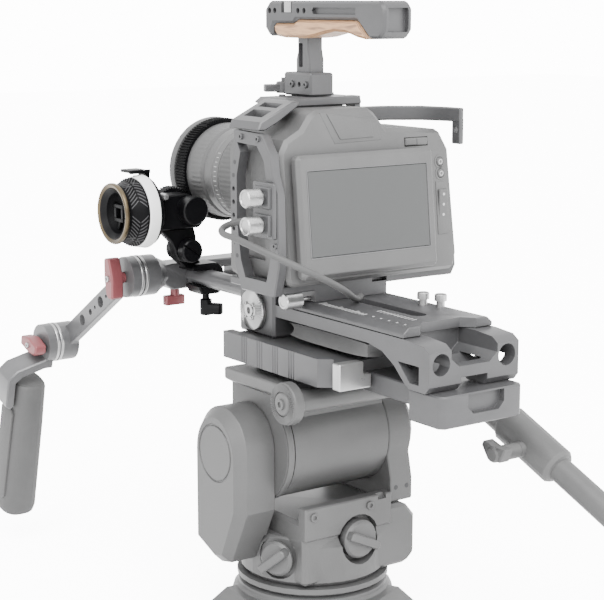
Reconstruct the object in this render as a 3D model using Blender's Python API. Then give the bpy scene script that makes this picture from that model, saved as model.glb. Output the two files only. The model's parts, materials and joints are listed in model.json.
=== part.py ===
"""Cinema camera rig on a fluid head: camera, cage, lens, follow focus, shoulder plate and grips.

Sizes below are millimetres and degrees. X is to the operator's right, Y along the lens,
Z up. The origin is on the pan axis, at the flat underside of the tripod crown.
"""

import math

import bmesh
import bpy
from mathutils import Matrix, Vector

METRE = 0.001
GAP = 0.3
ROUND_STEPS = 26
SMALL_STEPS = 16

# Heights and axes that the assembly is built on
LENS_AXIS_Z = 351.0
ROD_DROP = 87.0
ROD_Z = LENS_AXIS_Z - ROD_DROP
ROD_SPACING = 60.0
ROD_RADIUS = 7.5
TILT_AXIS_Z = 150.0
ROD_FRONT_Y = 156.0

# Tripod crown and fluid head
CROWN_RADIUS = 60.0
CROWN_FOOT_RADIUS = 70.0
CROWN_HEIGHT = 41.7
LUG_REACH = 98.0
LUG_HALF_WIDTH = 22.0
LUG_ANGLES = (54.7, 174.7, 294.7)
HOUSING_RADIUS = 58.0
HOUSING_TOP = 96.0
HOUSING_RIGHT = 66.0
HOUSING_DEPTH = 100.0
DRUM_RADIUS = 43.0
DRUM_LEFT = -54.0
DRUM_RIGHT = 43.5
DRUM_NECK = 34.0
PLATFORM_BOTTOM = 194.3
PLATFORM_TOP = 209.0
COVER_FACE_X = -88.0
BAR_AXIS_Y = -66.0
BAR_AXIS_Z = 199.0
ROSETTE_RADIUS = 16.0
BAR_RADIUS = 12.5
BAR_LENGTH = 290.0
BAR_DROP_DEG = 27.0
BAR_SPLAY_DEG = 7.0
BAR_RIGHT_X = 78.0
KNOB_SEAT = (7.0, -HOUSING_DEPTH / 2, 76.0)
LOCK_SEAT_DEG = 206.0
LOCK_Z = 64.0

# Tripod adapter and shoulder plate
ADAPTER_BOTTOM = 215.0
ADAPTER_TOP = 236.0
ADAPTER_HALF_WIDTH = 62.0
ADAPTER_FRONT_Y = 34.0
ADAPTER_REAR_Y = -104.0
ADAPTER_TAIL_Y = -202.0
SHOULDER_HALF_WIDTH = 41.0
SHOULDER_TOP = 260.5
CHANNEL_DEPTH = 2.5
SHOULDER_FOOT = ADAPTER_TOP - CHANNEL_DEPTH + GAP
TAIL_TOP = 226.0
BEAM_HALF = 27.0
TAIL_HALF = 38.0
ARCH_TOP = 251.0
CLAMP_REAR_Y = -8.0
CLAMP_FRONT_Y = 40.0
CLAMP_TOP = 275.5
SHOULDER_TAIL_Y = -192.0
REAR_ROD_Z = 246.0
SLIDE_TOP = 268.0
SLIDE_FRONT_Y = -12.0
SLIDE_REAR_Y = -164.0

# Camera, cage and handle
BODY_LEFT = -65.0
BODY_RIGHT = 98.0
BODY_REAR_Y = -48.0
BODY_FRONT_Y = 20.0
CAGE_BOTTOM = 276.8
CAGE_FLOOR = 6.2
BODY_BOTTOM = CAGE_BOTTOM + CAGE_FLOOR
BODY_TOP = 396.0
HUMP_TOP = 411.0
REAR_LEAN_DEG = 6.0
LCD_WIDTH = 128.0
LCD_HEIGHT = 91.0
LCD_DEPTH = 11.0
LCD_CENTRE_X = 5.0
LCD_HINGE_Z = 379.0
GLASS_WIDTH = 110.7
GLASS_HEIGHT = 62.3
KEY_PROUD = 1.2
# Keys on the rear face: name, x, z, width, height
KEYS = (("button_round_upper", 84.5, 367.0, 7.0, 7.0),
        ("button_round_lower", 84.8, 358.0, 7.0, 7.0),
        ("key_pad", 85.2, 330.0, 9.0, 32.0),
        ("top_keys", 62.0, 383.5, 22.0, 6.0))
CAGE_LEFT_OUT = -75.0
CAGE_LEFT_IN = -67.0
CAGE_TOP_Z = 418.0
CAGE_ARM_GAP = 1.2
CAGE_ARM_DEPTH = 11.0
RISER_HALF = 34.0
LOCK_KNOB = (-43.0, 270.2)
HANDLE_HALF_WIDTH = 13.0
FOOT_HEIGHT = 18.0
POST_HEIGHT = 45.0
HANDLE_DEPTH = 27.0
HANDLE_FLOOR = CAGE_TOP_Z + POST_HEIGHT
HANDLE_TOP = HANDLE_FLOOR + HANDLE_DEPTH
HANDLE_FRONT_Y = 47.0
HANDLE_REAR_Y = -104.0
POST_HALF_WIDTH = 7.0
POST_REAR_Y = -3.0
POST_FRONT_Y = 11.0
POST_SINK = 4.0
WOOD_SEAT = 10.0
WOOD_STEP = 3.0
CLAMP_OUT = -79.0
CLAMP_SADDLE = 2.0
CLAMP_REAR_EDGE = -61.0
CLAMP_FRONT_EDGE = -34.0
KNOB_Y = -48.0
KNOB_LENGTH = 14.0
KNOB_ZS = (("clamp_knob_upper", 350.0), ("clamp_knob_lower", 330.0))

# Lens and follow focus
GEAR_MODULE = 0.8
RING_TOOTH_COUNT = 106
DRIVE_TOOTH_COUNT = 40
RING_Y = 130.0
RING_WIDTH = 13.0
RING_BORE = 39.5
MESH_ANGLE_DEG = 208.1
BARREL_RADIUS = 36.5
CORE_RADIUS = 33.0
FOCUS_REAR = 100.0
FOCUS_FRONT = 138.0
LENS_FRONT = 146.0
GLASS_SEAT = LENS_FRONT - 5.5
WHEEL_AXIS_Y = 113.0
WHEEL_FACE_X = -116.0
RIM_RADIUS = 24.5
DISC_RADIUS = 29.5
PIVOT_X = -52.0
PIVOT_Z = 290.0
FF_FRONT = 121.5
FF_REAR = 101.0
FF_LEFT = -83.0
FF_RIGHT = -37.5

# Side handgrip
ARM_PIVOT_Y = 141.0
ARM_PIVOT_Z = 266.0
ARM_LENGTH = 140.0
ARM_DROP_DEG = 32.0
ARM_ROSETTE_RADIUS = 17.0
ARM_INNER_X = -79.0
ARM_THICK = 11.0
GRIP_LEAN_DEG = 16.0
GRIP_LENGTH = 132.0

# Signal cable
CABLE_RADIUS = 2.5
CABLE_POINTS = ((-78.1, CLAMP_FRONT_EDGE + 0.5, 332.0), (-81.8, -24.2, 330.3), (-90.6, -20.5, 328.1),
                (-99.4, -24.2, 325.5), (-103.1, -33.0, 323.4), (-103.0, -46.0, 322.2),
                (-100.5, -59.3, 319.3),
                (-96.0, -71.0, 315.6), (-88.0, -82.5, 310.4), (-77.0, -91.0, 304.0),
                (-63.0, -94.5, 297.0),
                (-43.5, -91.5, 287.2), (-30.5, -85.5, 280.6), (-17.5, -76.5, 274.0),
                (-6.4, -66.9, SLIDE_TOP + CABLE_RADIUS + GAP))

RING_PITCH = GEAR_MODULE * RING_TOOTH_COUNT / 2
DRIVE_PITCH = GEAR_MODULE * DRIVE_TOOTH_COUNT / 2
MESH_ANGLE = math.radians(MESH_ANGLE_DEG)
DRIVE_X = (RING_PITCH + DRIVE_PITCH) * math.cos(MESH_ANGLE)
DRIVE_Z = LENS_AXIS_Z + (RING_PITCH + DRIVE_PITCH) * math.sin(MESH_ANGLE)

FINISHES = {
    "black_anodised": ((0.020, 0.020, 0.021), 0.45, 0.6),
    "grey_anodised": ((0.270, 0.270, 0.275), 0.45, 0.4),
    "grey_casting": ((0.250, 0.250, 0.252), 0.55, 0.2),
    "grey_plastic": ((0.260, 0.260, 0.262), 0.60, 0.0),
    "dark_glass": ((0.240, 0.245, 0.245), 0.15, 0.0),
    "satin_steel": ((0.550, 0.550, 0.550), 0.35, 0.9),
    "rod_alloy": ((0.330, 0.330, 0.335), 0.35, 0.6),
    "grip_rubber": ((0.240, 0.240, 0.240), 0.80, 0.0),
    "black_rubber": ((0.016, 0.016, 0.016), 0.75, 0.0),
    "walnut": ((0.560, 0.390, 0.280), 0.55, 0.0),
    "red_lever": ((0.330, 0.120, 0.120), 0.45, 0.3),
    "brass_ring": ((0.300, 0.240, 0.160), 0.35, 0.8),
    "white_disc": ((0.760, 0.760, 0.760), 0.55, 0.0),
    "foam": ((0.230, 0.230, 0.232), 0.90, 0.0),
}


def clear_scene():
    for thing in list(bpy.data.objects):
        bpy.data.objects.remove(thing, do_unlink=True)


def material(finish):
    made = bpy.data.materials.get(finish)
    if made:
        return made
    colour, roughness, metallic = FINISHES[finish]
    made = bpy.data.materials.new(finish)
    made.use_nodes = True
    shader = made.node_tree.nodes["Principled BSDF"]
    shader.inputs["Base Color"].default_value = (*colour, 1.0)
    shader.inputs["Roughness"].default_value = roughness
    shader.inputs["Metallic"].default_value = metallic
    return made


# Shape tools. Each returns a bmesh in millimetres.
def arc(centre, radius, start, end, steps):
    """Points on an arc in a plane, from start to end in degrees, both ends included."""
    points = []
    for k in range(steps + 1):
        angle = math.radians(start + (end - start) * k / steps)
        points.append((centre[0] + radius * math.cos(angle), centre[1] + radius * math.sin(angle)))
    return points


def place(axis, pair, along):
    """A point from its two coordinates across an axis and one along it."""
    if axis == "x":
        return (along, pair[0], pair[1])
    if axis == "y":
        return (pair[0], along, pair[1])
    return (pair[0], pair[1], along)


def prism(outline, axis, low, high, bevel=0.0):
    """An outline across an axis, extruded along it; bevel chamfers every sharp edge."""
    bm = bmesh.new()
    face = bm.faces.new([bm.verts.new(place(axis, pair, low)) for pair in outline])
    pushed = bmesh.ops.extrude_face_region(bm, geom=[face])
    moved = [v for v in pushed["geom"] if isinstance(v, bmesh.types.BMVert)]
    bmesh.ops.translate(bm, verts=moved, vec=place(axis, (0, 0), high - low))
    bmesh.ops.recalc_face_normals(bm, faces=bm.faces)
    return chamfer(bm, bevel)


def chamfer(bm, width, least_deg=40.0):
    if width > 0:
        edges = [e for e in bm.edges if e.calc_face_angle(0) > math.radians(least_deg)]
        bmesh.ops.bevel(bm, geom=edges, offset=width, offset_type="OFFSET", segments=1,
                        profile=0.5, affect="EDGES", clamp_overlap=True, material=-1)
    return bm


def block(low, high, bevel=0.0):
    outline = [(low[0], low[1]), (high[0], low[1]), (high[0], high[1]), (low[0], high[1])]
    return prism(outline, "z", low[2], high[2], bevel)


def turned(profile, axis, centre, steps=ROUND_STEPS, ring=False):
    """A profile of (radius, along) pairs spun about an axis through centre."""
    bm = bmesh.new()
    verts = [bm.verts.new((radius, 0, along)) for radius, along in profile]
    edges = [bm.edges.new(pair) for pair in zip(verts, verts[1:])]
    if ring:
        edges.append(bm.edges.new((verts[-1], verts[0])))
    bmesh.ops.spin(bm, geom=verts + edges, cent=(0, 0, 0), axis=(0, 0, 1),
                   angle=math.tau, steps=steps, use_merge=True)
    bmesh.ops.remove_doubles(bm, verts=bm.verts, dist=0.0005)
    bmesh.ops.recalc_face_normals(bm, faces=bm.faces)
    turn = {"x": Matrix.Rotation(math.pi / 2, 4, "Y"),
            "y": Matrix.Rotation(-math.pi / 2, 4, "X"),
            "z": Matrix.Identity(4)}[axis]
    bm.transform(Matrix.Translation(centre) @ turn)
    return bm


def rod(axis, centre, radius, low, high, steps=SMALL_STEPS):
    """A plain cylinder whose axis passes through the pair centre."""
    return turned([(0, low), (radius, low), (radius, high), (0, high)],
                  axis, place(axis, centre, 0), steps)


def boolean(base, tools, operation):
    """Cuts or joins bmeshes with the exact solver."""
    scratch = []
    for bm in [base, *tools]:
        mesh = bpy.data.meshes.new("scratch")
        bm.to_mesh(mesh)
        bm.free()
        thing = bpy.data.objects.new("scratch", mesh)
        bpy.context.scene.collection.objects.link(thing)
        scratch.append(thing)
    for tool in scratch[1:]:
        modifier = scratch[0].modifiers.new("step", "BOOLEAN")
        modifier.operation = operation
        modifier.object = tool
        modifier.solver = "EXACT"
    result = bmesh.new()
    result.from_object(scratch[0], bpy.context.evaluated_depsgraph_get())
    for thing in scratch:
        bpy.data.objects.remove(thing, do_unlink=True)
    bmesh.ops.remove_doubles(result, verts=result.verts, dist=0.0008)
    bmesh.ops.dissolve_degenerate(result, edges=result.edges, dist=0.0008)
    return result


def cut(base, *tools):
    return boolean(base, tools, "DIFFERENCE")


def join(base, *tools):
    return boolean(base, tools, "UNION")


def turn_about(bm, degrees, axis, centre):
    bm.transform(Matrix.Translation(centre) @ Matrix.Rotation(math.radians(degrees), 4, axis)
                 @ Matrix.Translation(-Vector(centre)))
    return bm


def make(name, bm, finish, pivot=(0.0, 0.0, 0.0)):
    """Turns a bmesh into a named object whose origin is at pivot, on its joint's axis."""
    bm.transform(Matrix.Translation(-Vector(pivot)))
    bm.transform(Matrix.Scale(METRE, 4))
    mesh = bpy.data.meshes.new(name)
    bm.to_mesh(mesh)
    bm.free()
    mesh.shade_smooth()
    mesh.set_sharp_from_angle(angle=math.radians(35))
    mesh.materials.append(material(finish))
    thing = bpy.data.objects.new(name, mesh)
    thing.location = Vector(pivot) * METRE
    bpy.context.scene.collection.objects.link(thing)
    return thing


# Tripod crown and fluid head
def tripod_crown():
    body = turned([(0, 0), (CROWN_FOOT_RADIUS - 4, 0), (CROWN_FOOT_RADIUS, 6), (CROWN_RADIUS + 4, 26),
                   (CROWN_RADIUS, 30), (CROWN_RADIUS, 33), (CROWN_RADIUS - 5, 34.5),
                   (CROWN_RADIUS - 5, 36.5), (CROWN_RADIUS + 1, 37.5), (CROWN_RADIUS + 1, CROWN_HEIGHT),
                   (0, CROWN_HEIGHT)], "z", (0, 0, 0), 32)
    lugs = []
    for angle in LUG_ANGLES:
        lug = prism([(30, 0), (LUG_REACH, 0), (LUG_REACH, 9), (CROWN_FOOT_RADIUS - 2, 28), (30, 28)],
                    "y", -LUG_HALF_WIDTH, LUG_HALF_WIDTH, 2.0)
        lugs.append(turn_about(lug, angle, "Z", (0, 0, 0)))
    body = join(body, *lugs)
    pockets = []
    pocket_count = 15
    for k in range(pocket_count):
        angle = 360 * (k + 0.5) / pocket_count
        nearest = min(abs((angle - lug + 180) % 360 - 180) for lug in LUG_ANGLES)
        if nearest > 28:
            pocket = block((CROWN_RADIUS - 2, -7, 9), (CROWN_FOOT_RADIUS + 8, 7, 23))
            pockets.append(turn_about(pocket, angle, "Z", (0, 0, 0)))
    make("tripod_crown", cut(body, *pockets), "grey_casting")


def head_base_housing():
    foot_z = CROWN_HEIGHT + GAP
    half = HOUSING_DEPTH / 2
    foot = turned([(0, foot_z), (HOUSING_RADIUS - 4, foot_z), (HOUSING_RADIUS, foot_z + 4),
                   (HOUSING_RADIUS, 74), (HOUSING_RADIUS - 6, 80), (0, 80)], "z", (0, 0, 0), 32)
    slab = prism([(-44, foot_z + 3), (HOUSING_RADIUS, foot_z + 3), (HOUSING_RIGHT, 52),
                  (HOUSING_RIGHT, 84),
                  (HOUSING_RIGHT - 10, HOUSING_TOP), (-44, HOUSING_TOP)], "y", -half, half, 3.0)
    bracket = block((-44, -half - 2, HOUSING_TOP - 14), (40, -half + 8, HOUSING_TOP + 12), 1.0)
    body = join(foot, slab, bracket)
    seat = rod("y", (KNOB_SEAT[0], KNOB_SEAT[2]), 19.5, -HOUSING_RADIUS - 2, -half + 6, 20)
    notch = rod("x", (-half - 2, HOUSING_TOP + 12), 4, 26, 34, 12)
    pocket = turned([(0, HOUSING_RADIUS - 5), (17, HOUSING_RADIUS - 5), (17, HOUSING_RADIUS + 9),
                     (0, HOUSING_RADIUS + 9)], "x", (0, 0, LOCK_Z), 20)
    turn_about(pocket, LOCK_SEAT_DEG, "Z", (0, 0, 0))
    make("head_base_housing", cut(body, seat, notch, pocket), "grey_casting")


def tilt_cover_left():
    """One domed cover over the tilt drum's end, with a tongue down over the housing."""
    outline = [(40, 68), *arc((7, 150), 33, 0, 180, 16), (-26, 104), (-20, 92), (-4, 60), (10, 57)]
    middle = (7, 118)
    inset = [(middle[0] + (y - middle[0]) * 0.80, middle[1] + (z - middle[1]) * 0.88) for y, z in outline]
    shell = prism(outline, "x", COVER_FACE_X + 8, DRUM_LEFT - GAP)
    dome = bridge_rims(outline, inset, COVER_FACE_X + 8, COVER_FACE_X)
    groove = turned([(21.5, COVER_FACE_X - 2), (23, COVER_FACE_X - 2), (23, COVER_FACE_X + 1.2),
                     (21.5, COVER_FACE_X + 1.2)],
                    "x", (0, 7, 147), 24, ring=True)
    clear = HOUSING_RADIUS + GAP
    foot = rod("z", (0, 0), clear, 30, 80 + GAP, 32)
    corner = block((-48, -60, 30), (-30, 60, HOUSING_TOP + GAP))
    make("tilt_cover_left", cut(join(shell, dome), groove, foot, corner), "grey_casting")


def bridge_rims(wide, narrow, x_wide, x_narrow):
    """A closed frustum between two outlines with equal counts, seated 1 mm into what carries it."""
    bm = bmesh.new()
    back = [bm.verts.new((x_wide + 1, *pair)) for pair in wide]
    middle = [bm.verts.new((x_wide, *pair)) for pair in wide]
    front = [bm.verts.new((x_narrow, *pair)) for pair in narrow]
    count = len(wide)
    for near, far in ((back, middle), (middle, front)):
        for k in range(count):
            bm.faces.new((near[k], near[(k + 1) % count], far[(k + 1) % count], far[k]))
    bm.faces.new(back)
    bm.faces.new(front)
    bmesh.ops.recalc_face_normals(bm, faces=bm.faces)
    return bm


def cheek_right():
    low = DRUM_RIGHT + GAP
    outline = [(-45, HOUSING_TOP + GAP), (45, HOUSING_TOP + GAP), (45, 116),
               *arc((0, TILT_AXIS_Z), DRUM_RADIUS + 0.5, -20, 200, 24), (-45, 116)]
    plate = prism(outline, "x", low, HOUSING_RIGHT)
    cap = turned([(0, HOUSING_RIGHT - 2), (38, HOUSING_RIGHT - 2), (38, HOUSING_RIGHT + 4),
                  (33, HOUSING_RIGHT + 9),
                  (12, HOUSING_RIGHT + 9), (10, HOUSING_RIGHT + 7), (0, HOUSING_RIGHT + 7)],
                 "x", (0, 0, TILT_AXIS_Z), 24)
    make("cheek_right", join(plate, cap), "grey_casting")


def grip_knob(radius, depth, bar_height):
    """A drag knob along +Z from its seat: a stepped disc with a bar across its face."""
    disc = turned([(0, 0), (radius * 0.7, 0), (radius * 0.7, 3), (radius, 4), (radius, depth - 2),
                   (radius - 2, depth), (0, depth)], "z", (0, 0, 0), 20)
    bar = prism([(-radius + 1, -3.5), (radius - 1, -3.5), (radius + 1, 0), (radius - 1, 3.5),
                 (-radius + 1, 3.5)],
                "z", depth - 2, depth + bar_height, 1.0)
    return join(disc, bar)


def head_knobs():
    knob = grip_knob(15.5, 12, 6)
    knob.transform(Matrix.Translation((KNOB_SEAT[0], KNOB_SEAT[1] + 6 - GAP, KNOB_SEAT[2]))
                   @ Matrix.Rotation(math.pi / 2, 4, "X") @ Matrix.Rotation(math.radians(-25), 4, "Z"))
    make("pan_drag_knob", knob, "grey_plastic", KNOB_SEAT)
    angle = math.radians(LOCK_SEAT_DEG)
    outward = Vector((math.cos(angle), math.sin(angle), 0))
    seat = outward * (HOUSING_RADIUS - 5 + GAP) + Vector((0, 0, LOCK_Z))
    lock = grip_knob(14, 8, 8)
    lock.transform(Matrix.Translation(seat) @ outward.to_track_quat("Z", "Y").to_matrix().to_4x4()
                   @ Matrix.Rotation(math.radians(40), 4, "Z"))
    make("pan_lock_knob", lock, "grey_plastic", seat)


def tilt_drum():
    side = math.degrees(math.acos(DRUM_NECK / DRUM_RADIUS))
    outline = [(DRUM_NECK, PLATFORM_BOTTOM - GAP)]
    outline += arc((0, TILT_AXIS_Z), DRUM_RADIUS, side, -180 - side, 26)
    outline.append((-DRUM_NECK, PLATFORM_BOTTOM - GAP))
    drum = prism(outline, "x", DRUM_LEFT, DRUM_RIGHT)
    groove = turned([(DRUM_RADIUS - 1.2, DRUM_LEFT + 6), (DRUM_RADIUS + 8, DRUM_LEFT + 6),
                     (DRUM_RADIUS + 8, DRUM_LEFT + 7.5), (DRUM_RADIUS - 1.2, DRUM_LEFT + 7.5)],
                    "x", (0, 0, TILT_AXIS_Z), 24, ring=True)
    make("tilt_drum", cut(drum, groove), "grey_casting", (0, 0, TILT_AXIS_Z))


def head_platform():
    slab = prism([(-66, PLATFORM_TOP), (-66, 200), (-56, PLATFORM_BOTTOM), (50, PLATFORM_BOTTOM),
                  (58, 200),
                  (58, PLATFORM_TOP)], "y", -52, 27, 1.0)
    web = block((-38, BAR_AXIS_Y - 2, PLATFORM_BOTTOM), (44, -48, 206))
    tube = rod("x", (BAR_AXIS_Y, BAR_AXIS_Z), 9, -64, BAR_RIGHT_X, 16)
    left = turned([(0, -76), (8, -76), (9, -74.5), (ROSETTE_RADIUS - 1.5, -74.5), (ROSETTE_RADIUS, -73),
                   (ROSETTE_RADIUS, -66), (11, -63), (0, -63)], "x", (0, BAR_AXIS_Y, BAR_AXIS_Z), 20)
    right = turned([(0, BAR_RIGHT_X - 8), (11, BAR_RIGHT_X - 8), (ROSETTE_RADIUS, BAR_RIGHT_X - 5),
                    (ROSETTE_RADIUS, BAR_RIGHT_X), (0, BAR_RIGHT_X)], "x", (0, BAR_AXIS_Y, BAR_AXIS_Z),
                    20)
    make("head_platform", join(slab, web, tube, left, right), "grey_casting", (0, 0, TILT_AXIS_Z))


def pan_bar():
    """The bar's clamp, collar and tube run back and down from the right rosette."""
    start = Vector((BAR_RIGHT_X + GAP, BAR_AXIS_Y, BAR_AXIS_Z))
    eye = rod("x", (0, 0), ROSETTE_RADIUS, 0, 15, 20)
    stem = turned([(0, 10), (BAR_RADIUS, 10), (BAR_RADIUS, 60), (15, 64), (15, 116), (13, 119), (10, 120),
                   (10, BAR_LENGTH - 90), (13, BAR_LENGTH - 88), (14.5, BAR_LENGTH - 40),
                   (13, BAR_LENGTH - 3), (10, BAR_LENGTH), (0, BAR_LENGTH)], "z", (0, 0, 0), 16)
    stem.transform(Matrix.Translation((13.5, 0, 0)) @ Matrix.Rotation(math.radians(BAR_SPLAY_DEG), 4, "Z")
                   @ Matrix.Rotation(math.radians(90 + BAR_DROP_DEG), 4, "X"))
    bar = join(eye, stem)
    bar.transform(Matrix.Translation(start))
    boss_at = start + bar_direction() * 92 + Vector((13.5, 0, 0))
    seat = rod("x", (boss_at.y, boss_at.z), 6, boss_at.x - 18, boss_at.x)
    make("pan_bar", join(bar, seat), "grey_plastic", start)
    head = turned([(0, -26), (5, -26), (6, -24), (6, -GAP), (0, -GAP)], "x",
                  (boss_at.x - 18, boss_at.y, boss_at.z), 16)
    wing = prism([(-7, -5), (7, -5), (14, 5), (12, 9), (2, 6), (-12, 6)], "x", -24, -14, 1.0)
    wing.transform(Matrix.Translation((boss_at.x - 18, boss_at.y, boss_at.z)))
    make("pan_bar_screw", join(head, wing), "grey_plastic", boss_at)


def bar_direction():
    splay = math.radians(BAR_SPLAY_DEG)
    drop = math.radians(BAR_DROP_DEG)
    return Vector((-math.sin(-splay) * math.cos(drop), -math.cos(splay) * math.cos(drop),
                   -math.sin(drop)))


# Tripod adapter and shoulder plate
def adapter_outline():
    """Plan of the adapter's front block, with groups of upright grooves down both sides."""
    group_count, per_group_count, pitch, start = 4, 3, 3.0, 8.0
    group_step = 21.0
    groove, half = 1.0, ADAPTER_HALF_WIDTH
    side = []
    for g in range(group_count):
        for k in range(per_group_count):
            y = start - g * group_step - k * pitch
            side += [(half, y), (half - groove, y - pitch * 0.3), (half, y - pitch * 0.6)]
    right = [(half, ADAPTER_FRONT_Y), *side, (half, -92), (half - 14, ADAPTER_REAR_Y)]
    return right + [(-x, y) for x, y in reversed(right)]


def tripod_adapter():
    front = prism(adapter_outline(), "z", ADAPTER_BOTTOM, ADAPTER_TOP)
    channel = block((-ADAPTER_HALF_WIDTH + 9, ADAPTER_REAR_Y - 5, ADAPTER_TOP - CHANNEL_DEPTH),
                    (ADAPTER_HALF_WIDTH - 9, ADAPTER_FRONT_Y + 5, ADAPTER_TOP + 5))
    foot = block((-40, -80, PLATFORM_TOP + GAP), (40, 20, ADAPTER_BOTTOM + 2))
    beam = block((-BEAM_HALF, ADAPTER_TAIL_Y + 10, 210), (BEAM_HALF, ADAPTER_REAR_Y + 5, TAIL_TOP - 1),
                 1.0)
    tail = prism([(-TAIL_HALF, ADAPTER_TAIL_Y + 4), (-TAIL_HALF + 4, ADAPTER_TAIL_Y),
                  (TAIL_HALF - 4, ADAPTER_TAIL_Y),
                  (TAIL_HALF, ADAPTER_TAIL_Y + 4), (TAIL_HALF, -166), (-TAIL_HALF, -166)], "z", 203,
                  TAIL_TOP, 1.2)
    notch = prism([(-14, 216), (-9, 211), (14, 211), (19, 216), (19, 225), (-14, 225)], "y",
                  ADAPTER_TAIL_Y - 3, ADAPTER_TAIL_Y + 5)
    make("tripod_adapter", cut(join(cut(front, channel), foot, beam, tail), notch), "grey_anodised")
    lever = prism([(-58, ADAPTER_BOTTOM), (-29, ADAPTER_BOTTOM), (-29, 225.5), (-36, 225.5), (-36, 235),
                   (-58, 235)],
                  "y", ADAPTER_REAR_Y - GAP - 9, ADAPTER_REAR_Y - GAP, 0.8)
    make("adapter_release", lever, "satin_steel", (-46, ADAPTER_REAR_Y - GAP - 4, 225))


def shoulder_plate():
    half = SHOULDER_HALF_WIDTH
    outline = [(CLAMP_FRONT_Y, SHOULDER_TOP), (CLAMP_FRONT_Y, SHOULDER_FOOT), (6, SHOULDER_FOOT),
               (2, 240),
               (-1, 247), (-6, ARCH_TOP), (-124, ARCH_TOP), (-140, 248), (-154, 240), (-166, 229),
               (-171, TAIL_TOP + GAP),
               (SHOULDER_TAIL_Y + 4, TAIL_TOP + GAP),
               (SHOULDER_TAIL_Y, 231), (SHOULDER_TAIL_Y, 255), (SHOULDER_TAIL_Y + 6, 259),
               (-168, SHOULDER_TOP)]
    bridge = prism(outline, "x", -half, half)
    clamp = block((-half - 2, CLAMP_REAR_Y, SHOULDER_FOOT), (half + 2, CLAMP_FRONT_Y, CLAMP_TOP), 2.0)
    body = join(bridge, clamp)
    bores = []
    for x in (-ROD_SPACING / 2, ROD_SPACING / 2):
        bores.append(rod("y", (x, ROD_Z), ROD_RADIUS + GAP, CLAMP_REAR_Y + 4, CLAMP_FRONT_Y + 5, 18))
        bores.append(rod("y", (x, REAR_ROD_Z), ROD_RADIUS + GAP, SHOULDER_TAIL_Y - 5, -140, 18))
    well = prism([(-21, 249), (-14, 243), (14, 243), (21, 249), (21, 266), (-21, 266)], "y",
                 SHOULDER_TAIL_Y - 5, -150)
    window = prism([(-158, 244), (-181, 244), (-181, 231), (-171, 231)], "x", -half - 5, half + 5)
    undercut = block((-12, -200, 215), (12, -140, 235))
    make("shoulder_plate", cut(body, *bores, well, window, undercut), "grey_anodised")


def sliding_plate():
    half = SHOULDER_HALF_WIDTH
    low = SHOULDER_TOP + GAP
    plate = prism([(-half, low), (half, low), (half, low + 3), (half - 5, SLIDE_TOP),
                   (-half + 5, SLIDE_TOP),
                   (-half, low + 3)], "y", SLIDE_REAR_Y, SLIDE_FRONT_Y, 0.6)
    slot = prism([(-6, -130), *arc((0, -130), 6, 200, 340, 6), (6, -62), *arc((0, -62), 6, 20, 160, 6)],
                 "z",
                 SLIDE_TOP - 4, SLIDE_TOP + 4)
    tongue = prism([(-30, SLIDE_REAR_Y - 5), (-18, SLIDE_REAR_Y + 9), (18, SLIDE_REAR_Y + 9),
                    (30, SLIDE_REAR_Y - 5)],
                   "z", low - 3, SLIDE_TOP + 4)
    make("sliding_plate", cut(plate, slot, tongue), "grey_anodised")
    seat = -RISER_HALF - GAP
    knob = turned([(0, seat - 24), (5.2, seat - 24), (6.2, seat - 23), (6.2, seat - 9), (4, seat - 8),
                   (1.7, seat - 8), (1.7, seat),
                   (0, seat)], "x", (0, *LOCK_KNOB), 18)
    make("plate_lock_knob", knob, "satin_steel", (seat, *LOCK_KNOB))


def shoulder_pad():
    """A foam pad with a crown, hung in the arch under the plate."""
    bm = bmesh.new()
    bmesh.ops.create_cube(bm, size=2.0)
    bmesh.ops.subdivide_edges(bm, edges=bm.edges, cuts=5, use_grid_fill=True)
    half = Vector((38, 50, 7.0))
    centre = Vector((0, -70, ARCH_TOP - GAP - half.z))
    for v in bm.verts:
        crown = 1 - 0.35 * (v.co.x ** 4 + v.co.y ** 4) / 2
        draw = 1 - 0.05 * (1 - v.co.z ** 2)
        v.co = Vector((v.co.x * half.x * draw, v.co.y * half.y * draw, v.co.z * half.z * crown)) + centre
    make("shoulder_pad", bm, "foam")


def side_rosettes():
    for name, side in (("side_rosette_left", -1), ("side_rosette_right", 1)):
        disc = turned([(0, 0), (ROSETTE_RADIUS, 0), (ROSETTE_RADIUS, 3), (ROSETTE_RADIUS - 3, 5), (6, 4),
                       (5, 5.5), (2.6, 5.5), (2.6, 2.5), (0, 2.5)], "x", (0, 0, 0), 20)
        turn_about(disc, 0 if side > 0 else 180, "Z", (0, 0, 0))
        disc.transform(Matrix.Translation((side * (SHOULDER_HALF_WIDTH + 2 + GAP), 18, 253)))
        make(name, disc, "satin_steel")


def rods():
    for name, x in (("rod_left", -ROD_SPACING / 2), ("rod_right", ROD_SPACING / 2)):
        tube = turned([(0, CLAMP_REAR_Y + 6), (ROD_RADIUS - 1, CLAMP_REAR_Y + 6),
                       (ROD_RADIUS, CLAMP_REAR_Y + 7),
                       (ROD_RADIUS, ROD_FRONT_Y - 1), (ROD_RADIUS - 1, ROD_FRONT_Y), (4, ROD_FRONT_Y),
                       (4, ROD_FRONT_Y - 12), (0, ROD_FRONT_Y - 12)], "y", (x, 0, ROD_Z), 18)
        make(name, tube, "rod_alloy")


# Camera and lens
def lean_back(bm, from_y):
    """Slants the rear face, so that its foot stands further back than its head."""
    for v in bm.verts:
        if v.co.y < from_y:
            v.co.y -= (BODY_TOP - v.co.z) * math.tan(math.radians(REAR_LEAN_DEG))
    return bm


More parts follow.
